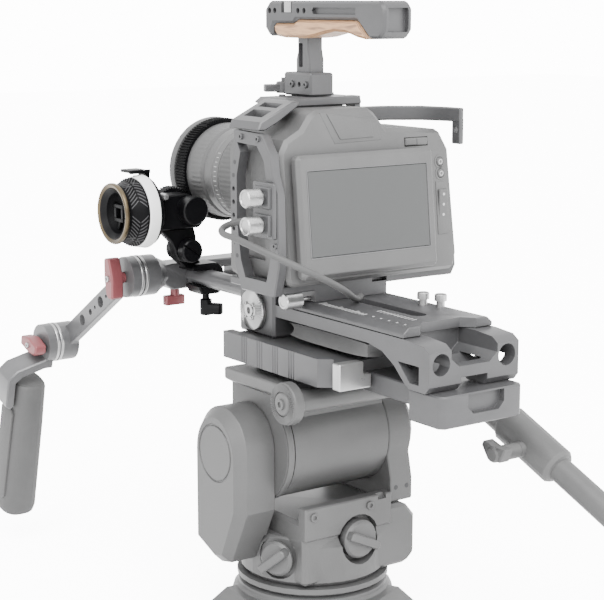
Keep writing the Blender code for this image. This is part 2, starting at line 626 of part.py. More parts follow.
def camera_body():
    outline = [(BODY_LEFT + 3, BODY_BOTTOM), (BODY_RIGHT - 4, BODY_BOTTOM),
               (BODY_RIGHT, BODY_BOTTOM + 12),
               (BODY_RIGHT - 3, 376), (BODY_RIGHT - 12, 392), (34, BODY_TOP - 1), (24, HUMP_TOP - 4),
               (18, HUMP_TOP),
               (-30, HUMP_TOP), (-37, HUMP_TOP - 4), (-45, 397), (BODY_LEFT + 6, 390), (BODY_LEFT, 380),
               (BODY_LEFT, BODY_BOTTOM + 6)]
    shell = lean_back(prism(outline, "y", BODY_REAR_Y, BODY_FRONT_Y, 3.0), BODY_REAR_Y + 8)
    grip = prism([(66, BODY_BOTTOM + 4), (94, BODY_BOTTOM + 4), (97, 300), (96, 372), (88, 386),
                  (68, 388), (60, 372),
                  (60, 296)], "y", BODY_FRONT_Y - 6, 46, 7.0)
    port = block((BODY_LEFT - 4, -30, 300), (BODY_LEFT + 3, 4, 366))
    seats = []
    for _, x, z, width, height in KEYS:
        wide, tall = width / 2 + GAP + 0.2, height / 2 + GAP + 0.2
        seat = prism([(x - wide, z - tall), (x + wide, z - tall), (x + wide, z + tall),
                      (x - wide, z + tall)], "y",
                     rear_y(z) - 4, rear_y(z) + 3.5)
        seats.append(seat)
    make("camera_body", cut(join(shell, grip), port, *seats), "grey_plastic")


def rear_y(z):
    return BODY_REAR_Y - (BODY_TOP - z) * math.tan(math.radians(REAR_LEAN_DEG))


def camera_keys():
    for name, x, z, width, height in KEYS:
        y = rear_y(z)
        if name.startswith("button"):
            key = turned([(0, 0), (width / 2, 0), (width / 2, 2.6), (width / 2 - 0.6, 3.4), (0, 3.4)],
                         "y", (0, 0, 0), 14)
            key.transform(Matrix.Translation((x, y + 2.2, z)) @ Matrix.Rotation(math.pi, 4, "Z"))
        else:
            key = block((x - width / 2, y - KEY_PROUD, z - height / 2),
                        (x + width / 2, y + 2.2, z + height / 2), 0.8)
        make(name, key, "grey_plastic", (x, y, z))


def lcd():
    """The screen hangs from its top edge and leans with the camera's rear face."""
    hinge = Vector((LCD_CENTRE_X, rear_y(LCD_HINGE_Z) - 1.5, LCD_HINGE_Z))
    wide, tall = LCD_WIDTH / 2, LCD_HEIGHT
    panel = prism([(-wide, -tall), (wide, -tall), (wide, 0), (-wide, 0)], "y", -LCD_DEPTH, 0, 3.0)
    glass_low = -tall / 2 - GLASS_HEIGHT / 2 + 2
    gw, gh = GLASS_WIDTH / 2, GLASS_HEIGHT
    pocket = block((-gw - GAP, -LCD_DEPTH - 2, glass_low - GAP),
                   (gw + GAP, -LCD_DEPTH + 1.4, glass_low + gh + GAP))
    panel = cut(panel, pocket)
    glass = block((-gw, -LCD_DEPTH + 0.1, glass_low), (gw, -LCD_DEPTH + 1.1, glass_low + gh))
    lean = Matrix.Translation(hinge) @ Matrix.Rotation(math.radians(-REAR_LEAN_DEG), 4, "X")
    panel.transform(lean)
    glass.transform(lean)
    make("lcd_panel", panel, "grey_plastic", hinge)
    make("lcd_glass", glass, "dark_glass", hinge)


def lens():
    axis = (0, 0, LENS_AXIS_Z)
    mount_y = BODY_FRONT_Y + GAP
    r = BARREL_RADIUS
    core = [(0, mount_y), (30, mount_y), (30, 28), (r - 1.5, 31), (r, 33), (r, 44), (CORE_RADIUS, 44.5),
            (CORE_RADIUS, 80), (r, 80.5), (r + 1, FOCUS_REAR - 1), (r + 0.5, FOCUS_REAR),
            (CORE_RADIUS, FOCUS_REAR + 0.5),
            (CORE_RADIUS, FOCUS_FRONT + 0.5), (42.5, FOCUS_FRONT + 1), (43, FOCUS_FRONT + 3),
            (43, LENS_FRONT - 1),
            (42, LENS_FRONT), (39, LENS_FRONT), (36, GLASS_SEAT + 0.5), (0, GLASS_SEAT)]
    make("lens_barrel", turned(core, "y", axis, 28), "grey_plastic")
    inner = CORE_RADIUS + GAP
    zoom = [(inner, 45), (r + 0.2, 45), (r + 1.2, 46.5), (r + 1.2, 77), (r + 0.2, 79.5), (inner, 79.5)]
    make("zoom_ring", turned(zoom, "y", axis, 32, ring=True), "grip_rubber", axis)
    focus = [(inner, FOCUS_REAR + 1), (r, FOCUS_REAR + 1), (r + 1.5, FOCUS_REAR + 4),
             (RING_BORE - GAP, 118),
             (RING_BORE - GAP, FOCUS_FRONT), (inner, FOCUS_FRONT)]
    make("focus_ring", turned(focus, "y", axis, 32, ring=True), "grey_plastic", axis)
    low = GLASS_SEAT + 0.5 + GAP
    glass = [(0, low), (32, low), (32, low + 0.8), (22, low + 2.6), (12, low + 3.6), (0, low + 4)]
    make("lens_glass", turned(glass, "y", axis, 26), "dark_glass")


def gear_outline(teeth, centre, first_angle):
    """Straight-flanked teeth of one module; first_angle is the middle of a tooth."""
    pitch = GEAR_MODULE * teeth / 2
    addendum, dedendum, backlash = 0.62 * GEAR_MODULE, 1.15 * GEAR_MODULE, 0.27
    slope = math.tan(math.radians(20))
    half = math.pi * GEAR_MODULE / 4 - backlash
    points = []
    for k in range(teeth):
        middle = first_angle + math.tau * k / teeth
        for radius, side in ((pitch - dedendum, -1), (pitch + addendum, -1), (pitch + addendum, 1),
                             (pitch - dedendum, 1)):
            width = half - (radius - pitch) * slope
            angle = middle + side * width / radius
            points.append((centre[0] + radius * math.cos(angle), centre[1] + radius * math.sin(angle)))
    return points


def focus_gears():
    low, high = RING_Y - RING_WIDTH / 2, RING_Y + RING_WIDTH / 2
    centre = (0, LENS_AXIS_Z)
    ring = prism(gear_outline(RING_TOOTH_COUNT, centre, MESH_ANGLE), "y", low, high)
    bore = rod("y", centre, RING_BORE, low - 3, high + 3, 36)
    make("focus_gear_ring", cut(ring, bore), "black_rubber", (0, 0, LENS_AXIS_Z))
    gap_angle = MESH_ANGLE + math.pi + math.pi / DRIVE_TOOTH_COUNT
    hub = (DRIVE_X, DRIVE_Z)
    gear = prism(gear_outline(DRIVE_TOOTH_COUNT, hub, gap_angle), "y", low + 1.5, high - 1.5)
    shaft = rod("y", hub, 5, FF_FRONT + 0.5, low + 3, 14)
    face = turned([(8, high - 3), (13, high - 3), (13, high + 3), (8, high + 3)], "y",
                  (hub[0], 0, hub[1]), 16, ring=True)
    boss = rod("y", hub, 6, high - 3, high + 1.5, 14)
    make("ff_drive_gear", join(cut(join(gear, shaft), face), boss), "black_anodised",
         (hub[0], RING_Y, hub[1]))


# Follow focus
def follow_focus():
    axis = (0, WHEEL_AXIS_Y, DRIVE_Z)
    wheel_axis = (WHEEL_AXIS_Y, DRIVE_Z)
    upper = prism([(FF_LEFT, 311), (FF_LEFT + 3, 308), (FF_RIGHT - 4, 308), (FF_RIGHT, 312),
                   (FF_RIGHT - 1, 318),
                   (-50, 336), (FF_LEFT + 4, 336), (FF_LEFT, 333)], "y", FF_REAR, FF_FRONT, 1.0)
    barrel = rod("y", (DRIVE_X, DRIVE_Z), 11.5, FF_REAR - 2, FF_FRONT, 28)
    cap = turned([(0, FF_REAR - 12), (10.6, FF_REAR - 12), (11.6, FF_REAR - 11), (11.6, FF_REAR - 3),
                  (10.4, FF_REAR - 2),
                  (10.4, FF_REAR + 4), (0, FF_REAR + 4)], "y", (DRIVE_X, 0, DRIVE_Z), 20)
    back = turned([(0, FF_LEFT - 3.5), (26.5, FF_LEFT - 3.5), (27.5, FF_LEFT - 2.5),
                   (27.5, FF_LEFT - 0.5),
                   (24, FF_LEFT + 2), (0, FF_LEFT + 2)], "x", axis, 26)
    socket = rod("y", (DRIVE_X, DRIVE_Z), 5 + GAP, FF_FRONT - 2, FF_FRONT + 3, 14)
    make("ff_gearbox", cut(join(upper, barrel, cap, back), socket), "black_anodised",
         (PIVOT_X, WHEEL_AXIS_Y, PIVOT_Z))
    disc_back = FF_LEFT - 3.5 - GAP
    disc_front = disc_back - 9
    disc = [(22, disc_back), (DISC_RADIUS - 0.8, disc_back), (DISC_RADIUS, disc_back - 0.8),
            (DISC_RADIUS - 1.5, disc_front), (22, disc_front)]
    make("ff_marking_disc", turned(disc, "x", axis, 32, ring=True), "white_disc", axis)
    face = WHEEL_FACE_X
    rim_seat = face + 5
    wheel = [(0, disc_back), (22 - GAP, disc_back), (22 - GAP, disc_front - GAP),
             (27.5, disc_front - GAP),
             (27.2, disc_front - 3), (24.5, disc_front - 8), (22.2, disc_front - 12),
             (21.8, rim_seat + 1),
             (22.2, rim_seat), (17, rim_seat), (16, rim_seat + 4), (12, rim_seat + 7), (0, rim_seat + 7)]
    socket = block((rim_seat, WHEEL_AXIS_Y - 4, DRIVE_Z - 4),
                   (rim_seat + 13, WHEEL_AXIS_Y + 4, DRIVE_Z + 4))
    make("ff_handwheel", cut(turned(wheel, "x", axis, 28), socket), "black_rubber", axis)
    rim = [(17.5, rim_seat - GAP), (22.2, rim_seat - GAP), (RIM_RADIUS, rim_seat - 2),
           (RIM_RADIUS, face + 1.2),
           (RIM_RADIUS - 1.5, face), (RIM_RADIUS - 4, face + 1), (19, face + 3.2)]
    make("ff_rim_ring", turned(rim, "x", axis, 28, ring=True), "brass_ring", axis)
    top = DRIVE_Z + DISC_RADIUS
    pointer = prism([(FF_LEFT + 0.5, top - 14), (FF_LEFT + 3.5, top - 14), (FF_LEFT + 3.5, top + 1),
                     (FF_LEFT - 1, top + 4),
                     (disc_front - 3, top + 4), (disc_front - 3, top + 1.5), (FF_LEFT - 2, top + 1.5),
                     (FF_LEFT + 0.5, top - 1)], "y", WHEEL_AXIS_Y + 1, WHEEL_AXIS_Y + 15, 0.5)
    trim = turned([(0, FF_LEFT - 4), (27.5 + GAP, FF_LEFT - 4), (27.5 + GAP, FF_LEFT),
                   (24 + GAP, FF_LEFT + 2 + GAP),
                   (0, FF_LEFT + 2 + GAP)], "x", axis, 26)
    make("ff_index_pointer", cut(pointer, trim), "black_anodised")


def follow_focus_mount():
    pivot = (PIVOT_X, PIVOT_Z)
    arm = prism([*arc(pivot, 10, 180, 360, 12), (-42, 300), (-44, 308 - GAP), (-76, 308 - GAP),
                 (-66, 298)], "y", 105, 113, 0.8)
    make("ff_swing_arm", arm, "black_anodised", (PIVOT_X, WHEEL_AXIS_Y, PIVOT_Z))
    knob = turned([(0, 94), (8.6, 94), (9.6, 95), (9.6, 102.5), (7, 103.5), (7, 105 - GAP),
                   (0, 105 - GAP)], "y",
                  (PIVOT_X, 0, PIVOT_Z), 18)
    slot = block((PIVOT_X - 12, 92, PIVOT_Z - 0.9), (PIVOT_X + 12, 95.4, PIVOT_Z + 0.9))
    turn_about(slot, 35, "Y", (PIVOT_X, 0, PIVOT_Z))
    make("ff_pivot_knob", cut(knob, slot), "black_anodised", (PIVOT_X, 100, PIVOT_Z))
    x, z = -ROD_SPACING / 2, ROD_Z
    lug = prism([*arc(pivot, 10, 60, 240, 10), (-48, 274), (-30, 274), (-36, 280)], "y", 113 + GAP, 121,
                0.8)
    jaws = prism([(x - 18, z + 9), (x - 14, z + 13), (x + 8, z + 13), (x + 13, z + 8), (x + 13, z - 9),
                  (x + 8, z - 13),
                  (x - 8, z - 13), (x - 10, z - 9)], "y", 103, 125, 1.0)
    bore = rod("y", (x, z), ROD_RADIUS + GAP, 95, 133, 16)
    mouth = block((x - 25, 95, z - 6), (x, 133, z + 8))
    make("ff_rod_clamp", cut(join(jaws, lug), bore, mouth), "black_anodised")
    post = turned([(0, z - 32), (4.4, z - 32), (5, z - 31), (5, z - 19), (3, z - 18), (3, z - 13 - GAP),
                   (0, z - 13 - GAP)],
                  "z", (x + 2, 114, 0), 14)
    wing = prism([(-3, -4), (13, -5), (15, -2), (14, 3), (-3, 4)], "z", z - 31, z - 22, 0.8)
    wing.transform(Matrix.Translation((x + 2, 114, 0)) @ Matrix.Rotation(math.radians(-50), 4, "Z"))
    make("ff_clamp_lever", join(post, wing), "black_anodised", (x + 2, 114, z - 20))


# Front rod bracket, arm and handgrip
def front_rod_bracket():
    y_low, y_high = 130.0, 152.0
    half = ROD_SPACING / 2
    bar = prism([(-58, 258), (-50, ROD_Z - 11), (half + 6, ROD_Z - 11), (half + 12, ROD_Z - 5),
                 (half + 12, ROD_Z + 6),
                 (half + 6, ROD_Z + 11), (-50, ROD_Z + 11), (-58, 274)], "y", y_low, y_high, 1.0)
    boss = turned([(0, -54), (11, -54), (ARM_ROSETTE_RADIUS - 2, -62), (ARM_ROSETTE_RADIUS, -64),
                   (ARM_ROSETTE_RADIUS, ARM_INNER_X + 1.5), (ARM_ROSETTE_RADIUS - 1.5, ARM_INNER_X),
                   (0, ARM_INNER_X)],
                  "x", (0, ARM_PIVOT_Y, ARM_PIVOT_Z), 24)
    body = join(bar, boss)
    bores = [rod("y", (x, ROD_Z), ROD_RADIUS + GAP, y_low - 5, y_high + 5, 18) for x in (-half, half)]
    slot = block((-14, y_low - 3, ROD_Z - 4), (14, y_high + 3, ROD_Z + 4))
    make("front_rod_bracket", cut(body, *bores, slot), "rod_alloy")


def thumb_lever(length, hub_high):
    """A winged clamping lever along -X from its seat at the origin."""
    hub = turned([(0, -hub_high), (5, -hub_high), (6, -hub_high + 1), (6, -3), (4.5, -2), (4.5, -GAP),
                  (0, -GAP)],
                 "x", (0, 0, 0), 14)
    half = length / 2
    wing = prism([(-half, -3), (-half + 4, -6), (0, -7), (half, -4.5), (half, 3.5), (0, 7), (-half, 4)],
                 "x",
                 -hub_high - 6, -hub_high + 5, 1.2)
    return join(hub, wing)


def side_arm():
    pivot = Vector((ARM_INNER_X, ARM_PIVOT_Y, ARM_PIVOT_Z))
    near, far = -GAP, -GAP - ARM_THICK
    top = rod("x", (0, 0), ARM_ROSETTE_RADIUS, far, near, 22)
    bottom = rod("x", (ARM_LENGTH, 0), ARM_ROSETTE_RADIUS, far - 8, near - 1, 24)
    bar = prism([(0, -12), (18, -8.5), (ARM_LENGTH - 18, -8.5), (ARM_LENGTH, -12), (ARM_LENGTH, 12),
                 (ARM_LENGTH - 18, 8.5),
                 (18, 8.5), (0, 12)], "x", far + 1, near - 2, 0.8)
    holes = [rod("x", (s, 0), r, far - 5, near + 5, 10)
             for s, r in ((30, 2.8), (40, 1.6), (52, 5.0), (64, 1.6), (74, 2.8), (92, 5.0))]
    link = cut(join(top, bottom, bar), *holes)
    drop = Matrix.Translation(pivot) @ Matrix.Rotation(math.radians(-ARM_DROP_DEG), 4, "X")
    link.transform(drop)
    make("arm_link", link, "rod_alloy", pivot)
    upper = thumb_lever(34, 9)
    upper.transform(Matrix.Translation(pivot + Vector((far, 0, 0))) @ Matrix.Rotation(math.radians(82), 4,
            "X"))
    make("arm_lever_upper", upper, "red_lever", pivot + Vector((far, 0, 0)))
    elbow = drop @ Vector((far - 8, ARM_LENGTH, 0))
    hand_grip(elbow)


def hand_grip(elbow):
    """Bracket and grip hang from the lower rosette; the grip's foot leans forward."""
    lean = Matrix.Translation(elbow) @ Matrix.Rotation(math.radians(GRIP_LEAN_DEG), 4, "X")
    disc = rod("x", (0, 0), ARM_ROSETTE_RADIUS, -11, -GAP, 36)
    shelf = prism([(-4, -10), (-11, -10), (-38, -18), (-46, -26), (-46, -52), (-41, -56), (-38, -52),
                   (-38, -30),
                   (-32, -25), (-11, -19), (-4, -19)], "y", -13, 11, 1.0)
    bracket = join(disc, shelf)
    bracket.transform(lean)
    make("grip_bracket", bracket, "rod_alloy", elbow)
    lever = thumb_lever(30, 7)
    lever.transform(Matrix.Translation(elbow + Vector((-11, 0, 0))) @ Matrix.Rotation(math.radians(12), 4,
            "X"))
    make("arm_lever_lower", lever, "red_lever", elbow + Vector((-11, 0, 0)))
    top_z, wide, deep = -33.0, 15.5, 19.0
    section = [(wide * round_power(math.cos(a)), deep * round_power(math.sin(a)))
               for a in (math.tau * k / 20 for k in range(20))]
    bm = bmesh.new()
    rings = []
    for share, swell in ((0.0, 0.86), (0.02, 0.94), (0.3, 1.0), (0.6, 1.04), (0.94, 1.06), (0.985, 1.0),
                         (1.0, 0.9)):
        z = top_z - GRIP_LENGTH * share
        rings.append([bm.verts.new((-22 + x * swell, y * swell - 1, z)) for x, y in section])
    for upper, lower in zip(rings, rings[1:]):
        for k in range(len(section)):
            bm.faces.new((upper[k], upper[(k + 1) % len(section)], lower[(k + 1) % len(section)],
                          lower[k]))
    bm.faces.new(rings[0])
    bm.faces.new(list(reversed(rings[-1])))
    bmesh.ops.recalc_face_normals(bm, faces=bm.faces)
    seat = block((-60, -13.4, -58), (-37.6, 11.4, top_z + 5))
    grip = cut(bm, seat)
    grip.transform(lean)
    make("hand_grip", grip, "grip_rubber", elbow)


def round_power(value, power=0.75):
    """Squares up a circle a little, for a rounded-square section."""
    return math.copysign(abs(value) ** power, value)


# Cage, cable clamp and top handle
def cage():
    outer = [(-2, 396), (-40, 394.5), (-52, 380), (-54, 366), (-60, 352), (-62, 300), (-56, CAGE_BOTTOM),
             (-12, CAGE_BOTTOM), (-4, 294), (2, 330), (2, 366), (-4, 384)]
    hole = [(-8, 387), (-34, 386), (-43, 376), (-46, 362), (-50, 350), (-51, 302), (-46, 287), (-18, 287),
            (-12, 300),
            (-7, 330), (-7, 362), (-12, 380)]
    side = prism(outer, "x", CAGE_LEFT_OUT, CAGE_LEFT_IN, 1.0)
    window = prism(hole, "x", CAGE_LEFT_OUT - 4, CAGE_LEFT_IN + 4)
    taps = [rod("x", (-2.5, z), 1.9, CAGE_LEFT_OUT - 3, CAGE_LEFT_OUT + 3, 10) for z in (312, 322, 332,
            342, 352)]
    make("cage_left", cut(side, window, *taps), "grey_anodised")
    floor = block((CAGE_LEFT_IN + GAP, -50, CAGE_BOTTOM), (BODY_RIGHT + 2, 16, BODY_BOTTOM - GAP), 0.8)
    lip, crown = CAGE_BOTTOM + 7.2, CAGE_BOTTOM + 20.2
    lug = prism([(BODY_RIGHT - 12, CAGE_BOTTOM), (BODY_RIGHT + 1, CAGE_BOTTOM), (BODY_RIGHT + 5, lip),
                 (BODY_RIGHT + 4, crown), (BODY_RIGHT + 1, crown), (BODY_RIGHT + 1, lip),
                 (BODY_RIGHT - 2, BODY_BOTTOM - GAP)], "y", -50, -16)
    slots = [block((20, -60, CAGE_BOTTOM + 1.6), (34, -44, BODY_BOTTOM + 2)),
             block((56, -20, CAGE_BOTTOM - 6), (80, 4, BODY_BOTTOM + 6))]
    riser = block((-RISER_HALF, -50, SLIDE_TOP + GAP), (RISER_HALF, -14, CAGE_BOTTOM + 1))
    make("cage_base", cut(join(floor, lug, riser), *slots), "grey_anodised")
    low = HUMP_TOP + GAP
    crest = prism([(-32, low), (33, low), (34, CAGE_TOP_Z - 4), (31, CAGE_TOP_Z), (-36, CAGE_TOP_Z),
                   (-42, CAGE_TOP_Z - 4)],
                  "y", -18, 20, 1.2)
    slope = prism([(-38, 413), (-36, CAGE_TOP_Z - 1), (-42, CAGE_TOP_Z - 1), (-71, 403), (-74, 396.6),
                   (CAGE_LEFT_IN, 396.6), (-56, 402)], "y", -34, 6, 1.0)
    slots = [block((-52, -26, 395), (-46, -2, 425)), block((-65, -26, 395), (-56, -2, 425))]
    make("cage_top", cut(join(crest, slope), *slots), "grey_anodised")
    sweep = [(35, 5), (68, 1), (94, -16), (102, -42), (103, -58), (98.6, -58), (97, -44), (88, -24),
             (66, -9), (35, -7)]
    under = BODY_TOP + CAGE_ARM_GAP
    arm = prism(sweep, "z", under, under + CAGE_ARM_DEPTH, 1.0)
    neck = block((34.5, -7, under + 0.8), (41, 5, CAGE_TOP_Z - 0.5), 0.8)
    corner = block((98.6, -58, under - 17.2), (103, -48, under + 2.8), 0.8)
    eye = rod("x", (-53, under - 6.2), 2.6, 95, 110, 12)
    make("cage_right_arm", cut(join(arm, neck, corner), eye), "grey_anodised")


def cable_clamp():
    seat = CLAMP_OUT - CLAMP_SADDLE
    plate = block((CLAMP_OUT, CLAMP_REAR_EDGE, 320), (CAGE_LEFT_OUT - GAP, CLAMP_FRONT_EDGE, 361), 1.0)
    saddles = [block((seat, KNOB_Y - 10, z - 8), (CLAMP_OUT + 1, KNOB_Y + 10, z + 8), 0.8) for _,
               z in KNOB_ZS]
    make("cable_clamp", join(plate, *saddles), "grey_anodised")
    near = seat - GAP
    far = near - KNOB_LENGTH
    for name, z in KNOB_ZS:
        knob = turned([(0, far), (5.6, far), (6.8, far + 1), (6.8, near - 2), (5, near - 1), (5, near),
                       (0, near)],
                      "x", (0, KNOB_Y, z), 18)
        make(name, knob, "satin_steel", (near, KNOB_Y, z))


def top_handle():
    handle_post()
    handle_lock()
    handle_frame()
    handle_wood()


def handle_post():
    foot_top = CAGE_TOP_Z + FOOT_HEIGHT
    head = HANDLE_FLOOR + POST_SINK
    foot = block((-11, -12, CAGE_TOP_Z + GAP), (11, 24, foot_top), 1.5)
    post = prism([(POST_REAR_Y - 2, foot_top - 6), (POST_FRONT_Y + 2, foot_top - 6),
                  (POST_FRONT_Y + 2, foot_top + 10),
                  (POST_FRONT_Y, foot_top + 16), (POST_FRONT_Y, head), (POST_REAR_Y, head),
                  (POST_REAR_Y, foot_top + 18), (POST_REAR_Y - 2, foot_top + 10)],
                 "x", -POST_HALF_WIDTH, POST_HALF_WIDTH, 1.0)
    slot = block((-12, 4, foot_top + 4), (12, 9, HANDLE_FLOOR - 5))
    holes = [rod("x", (y, foot_top - 9), radius, -20, 20, 12) for y,
             radius in ((-6, 2.8), (3, 2.0), (12, 2.8))]
    make("handle_post", cut(join(foot, post), slot, *holes), "grey_anodised")


def handle_lock():
    lock = Vector((-4, 33, CAGE_TOP_Z))
    lever = turned([(0, 1), (6, 1), (6.5, 2), (6.5, 9), (5.5, 10), (2.5, 10), (2.5, 13), (0, 13)], "z",
                   lock, 18)
    tail = prism([(-5, 0), (5, 0), (4, 16), (-3, 16)], "z", 2, 8, 0.8)
    tail.transform(Matrix.Translation(lock) @ Matrix.Rotation(math.radians(70), 4, "Z"))
    make("handle_lock_lever", join(lever, tail), "grey_anodised", lock + Vector((0, 0, 6)))


def handle_frame():
    front, rear = HANDLE_FRONT_Y, HANDLE_REAR_Y
    low, top = HANDLE_FLOOR, HANDLE_TOP
    seat = low + WOOD_SEAT
    core = prism([(front - 6, top), (rear + 5, top), (rear, top - 5), (rear, low + 6), (rear + 6, low),
                  (rear + 18, low),
                  (rear + 33, seat + WOOD_STEP), (5, seat + WOOD_STEP), (8, seat), (front - 12, seat),
                  (front - 10, low + 6), (front - 10, low), (front - 6, low), (front, low + 6),
                  (front, top - 6)],
                 "x", -HANDLE_HALF_WIDTH, HANDLE_HALF_WIDTH, 2.0)
    notch = block((-20, 10, top - 9), (20, 24, top + 8))
    cuts = [notch, block((-9, rear - 3, low + 5), (9, rear + 4, top - 5))]
    for side in (-1, 1):
        face = side * HANDLE_HALF_WIDTH
        cuts.append(prism([(rear + 34, top - 10), (-18, top - 10), (-16, top - 7.5), (-18, top - 5),
                           (rear + 34, top - 5)],
                          "x", face - 2.5, face + 2.5))
        for y in (40, 33, 2, -6):
            cuts.append(rod("x", (y, top - 7.5), 2.2, face - 5, face + 5, 10))
    make("handle_frame", cut(core, *cuts), "grey_anodised")


def handle_wood():
    front, rear = HANDLE_FRONT_Y - 12 - GAP, HANDLE_REAR_Y
    low = HANDLE_FLOOR
    seat = low + WOOD_SEAT - GAP
    outline = [(front, seat), (8, seat), (5, seat + WOOD_STEP), (rear + 33, seat + WOOD_STEP),
               (rear + 20, low + 1),
               (rear + 24, low - 0.5), (rear + 34, low + 1), (rear + 46, low + 4), (-43, low + 4.6),
               (-29, low + 2.5),
               (-16, low), (-4, low - 1), (20, low - 1), (front - 4, low), (front, low + 4)]
    wood = prism(outline, "x", -HANDLE_HALF_WIDTH, HANDLE_HALF_WIDTH, 2.5)
    socket = block((-POST_HALF_WIDTH - GAP, POST_REAR_Y - GAP, low - 5),
                   (POST_HALF_WIDTH + GAP, POST_FRONT_Y + GAP, low + POST_SINK + GAP))
    make("handle_grip_wood", cut(wood, socket), "walnut")


# Signal cable, from the clamp round the camera's rear corner to the sliding plate
def smooth_route(points, per_span):
    """Points along a Catmull-Rom curve through the route's own points."""
    ends = [points[0] * 2 - points[1], *points, points[-1] * 2 - points[-2]]
    route = []
    for a, b, c, d in zip(ends, ends[1:], ends[2:], ends[3:]):
        for k in range(per_span):
            t = k / per_span
            route.append(0.5 * (2 * b + (c - a) * t + (2 * a - 5 * b + 4 * c - d) * t * t
                                + (3 * b - a - 3 * c + d) * t ** 3))
    return [*route, points[-1]]


def signal_cable():
    route = smooth_route([Vector(p) * METRE for p in CABLE_POINTS], 2)
    curve = bpy.data.curves.new("signal_cable", "CURVE")
    curve.dimensions = "3D"
    curve.bevel_depth = CABLE_RADIUS * METRE
    curve.bevel_resolution = 2
    curve.use_fill_caps = True
    line = curve.splines.new("POLY")
    line.points.add(len(route) - 1)
    for point, at in zip(line.points, route):
        point.co = (*at, 1.0)
    curve.materials.append(material("grip_rubber"))
    bpy.context.scene.collection.objects.link(bpy.data.objects.new("signal_cable", curve))


def main():
    clear_scene()
    for build in (tripod_crown, head_base_housing, tilt_cover_left, cheek_right, head_knobs, tilt_drum,
                  head_platform, pan_bar, tripod_adapter, shoulder_plate, sliding_plate, shoulder_pad,
                  side_rosettes, rods, camera_body, camera_keys, lcd, lens, focus_gears, follow_focus,
                  follow_focus_mount, front_rod_bracket, side_arm, cage, cable_clamp, top_handle,
                  signal_cable):
        build()


main()
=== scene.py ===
"""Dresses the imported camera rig: finer forms, procedural materials, small parts and a studio stage."""

import json
import math

import bmesh
import bpy
from bpy.props import FloatProperty, IntProperty, PointerProperty
from mathutils import Matrix, Vector


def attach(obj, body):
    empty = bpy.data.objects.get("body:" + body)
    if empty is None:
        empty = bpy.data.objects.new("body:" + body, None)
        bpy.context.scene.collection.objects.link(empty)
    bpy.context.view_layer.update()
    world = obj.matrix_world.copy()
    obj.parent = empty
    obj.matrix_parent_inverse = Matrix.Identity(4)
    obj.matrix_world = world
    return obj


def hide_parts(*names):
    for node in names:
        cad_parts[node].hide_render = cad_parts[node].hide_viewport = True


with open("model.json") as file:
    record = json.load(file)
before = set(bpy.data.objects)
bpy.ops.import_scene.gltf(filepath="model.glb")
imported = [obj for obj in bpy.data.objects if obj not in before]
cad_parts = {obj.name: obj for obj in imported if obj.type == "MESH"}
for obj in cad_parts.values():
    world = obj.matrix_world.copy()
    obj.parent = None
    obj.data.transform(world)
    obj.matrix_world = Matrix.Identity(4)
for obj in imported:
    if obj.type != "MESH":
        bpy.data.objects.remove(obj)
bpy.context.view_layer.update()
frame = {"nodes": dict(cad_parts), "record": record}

bl_info = {
    "name": "Camera rig dressing",
    "version": (1, 0, 0),
    "blender": (4, 5, 0),
    "location": "View3D > Sidebar > Rig",
    "description": "Builds the dressed camera rig over its packed solids",
    "category": "Object",
}

MM = 0.001
RIG = "tilt_body"
LEFT = Vector((-1, 0, 0))
BACK = Vector((0, -1, 0))
UP = Vector((0, 0, 1))

# Places on the rig, in millimetres
DRUM_CENTRE = (0, 0, 150)
PLATFORM_ROSETTE = (-66, 199)
ROD_Z = 264
SIDE_ROSETTE = (18, 253)
PLATE_TOP = 267.9
LENS_AXIS = (0, 0, 351.0)
REAR_TOP_Y = -48.0
REAR_TOP_Z = 396.0
REAR_LEAN_DEG = 6.0
WHEEL_AXIS = (113.0, 323.5)
ARM_PIVOT = (141, 266)
ELBOW = (-98.3, 259.73, 191.81)
GRIP_LEAN_DEG = 16
CABLE_RADIUS = 2.5
CABLE_ROUTE = (
    (-78.1, -33.5, 332.0), (-81.8, -24.2, 330.3), (-90.6, -20.5, 328.1),
    (-99.4, -24.2, 325.5), (-103.1, -33.0, 323.4), (-103.0, -46.0, 322.2),
    (-100.5, -59.3, 319.3), (-96.0, -71.0, 315.6), (-88.0, -82.5, 310.4),
    (-77.0, -91.0, 304.0), (-63.0, -94.5, 297.0), (-43.5, -91.5, 287.2),
    (-30.5, -85.5, 280.6), (-17.5, -76.5, 274.0), (-6.4, -66.9, 270.8),
)

# Mesh fineness
WELD_DISTANCE = 0.000008
FLAT_DEG = 0.8
ROUNDED_FROM_DEG = 32.0
SHARP_ANGLE = 0.7
SMALL_STEPS = 24
PIN_STEPS = 32
STUD_STEPS = 48
WHEEL_STEPS = 128
FLUTED_STEPS = 192
TOOTHED_STEPS = 240

# The photo's view
CAMERA_PLACE = (-0.72117, -1.00383, 0.490)
CAMERA_HEADING_DEG = 35.3
CAMERA_PITCH_DEG = 10.6
FOCAL_PIXELS = 1600.0
FRAME_PIXELS = 604.0
SENSOR_WIDTH = 36.0

# The studio
KEY_PLACE = (-0.7, -1.15, 1.7)
KEY_SPREAD_DEG = 50
FILL_PLACE = (1.5, -1.8, 1.0)
FILL_SIZE = 2.0
LIT_POINT = (0, 0, 0.25)
WHITE = (1.0, 1.0, 1.0, 1.0)

SLOT_OF = {entry["node"]: entry["material_slot"] for entry in frame["record"]["subparts"]}
BODIES = frame["record"]["behaviour"]["bodies"]
BODY_OF = {node: body for body, nodes in BODIES.items() for node in nodes}


class RigSettings(bpy.types.PropertyGroup):
    edge: FloatProperty(
        name="Edge", description="Rounding of machined edges", default=0.0009,
        unit="LENGTH", subtype="DISTANCE")
    cast_edge: FloatProperty(
        name="Cast edge", description="Rounding of cast and moulded edges", default=0.0025,
        unit="LENGTH", subtype="DISTANCE")
    steps: IntProperty(
        name="Steps", description="Segments round a turned piece", default=96, min=24, max=256)


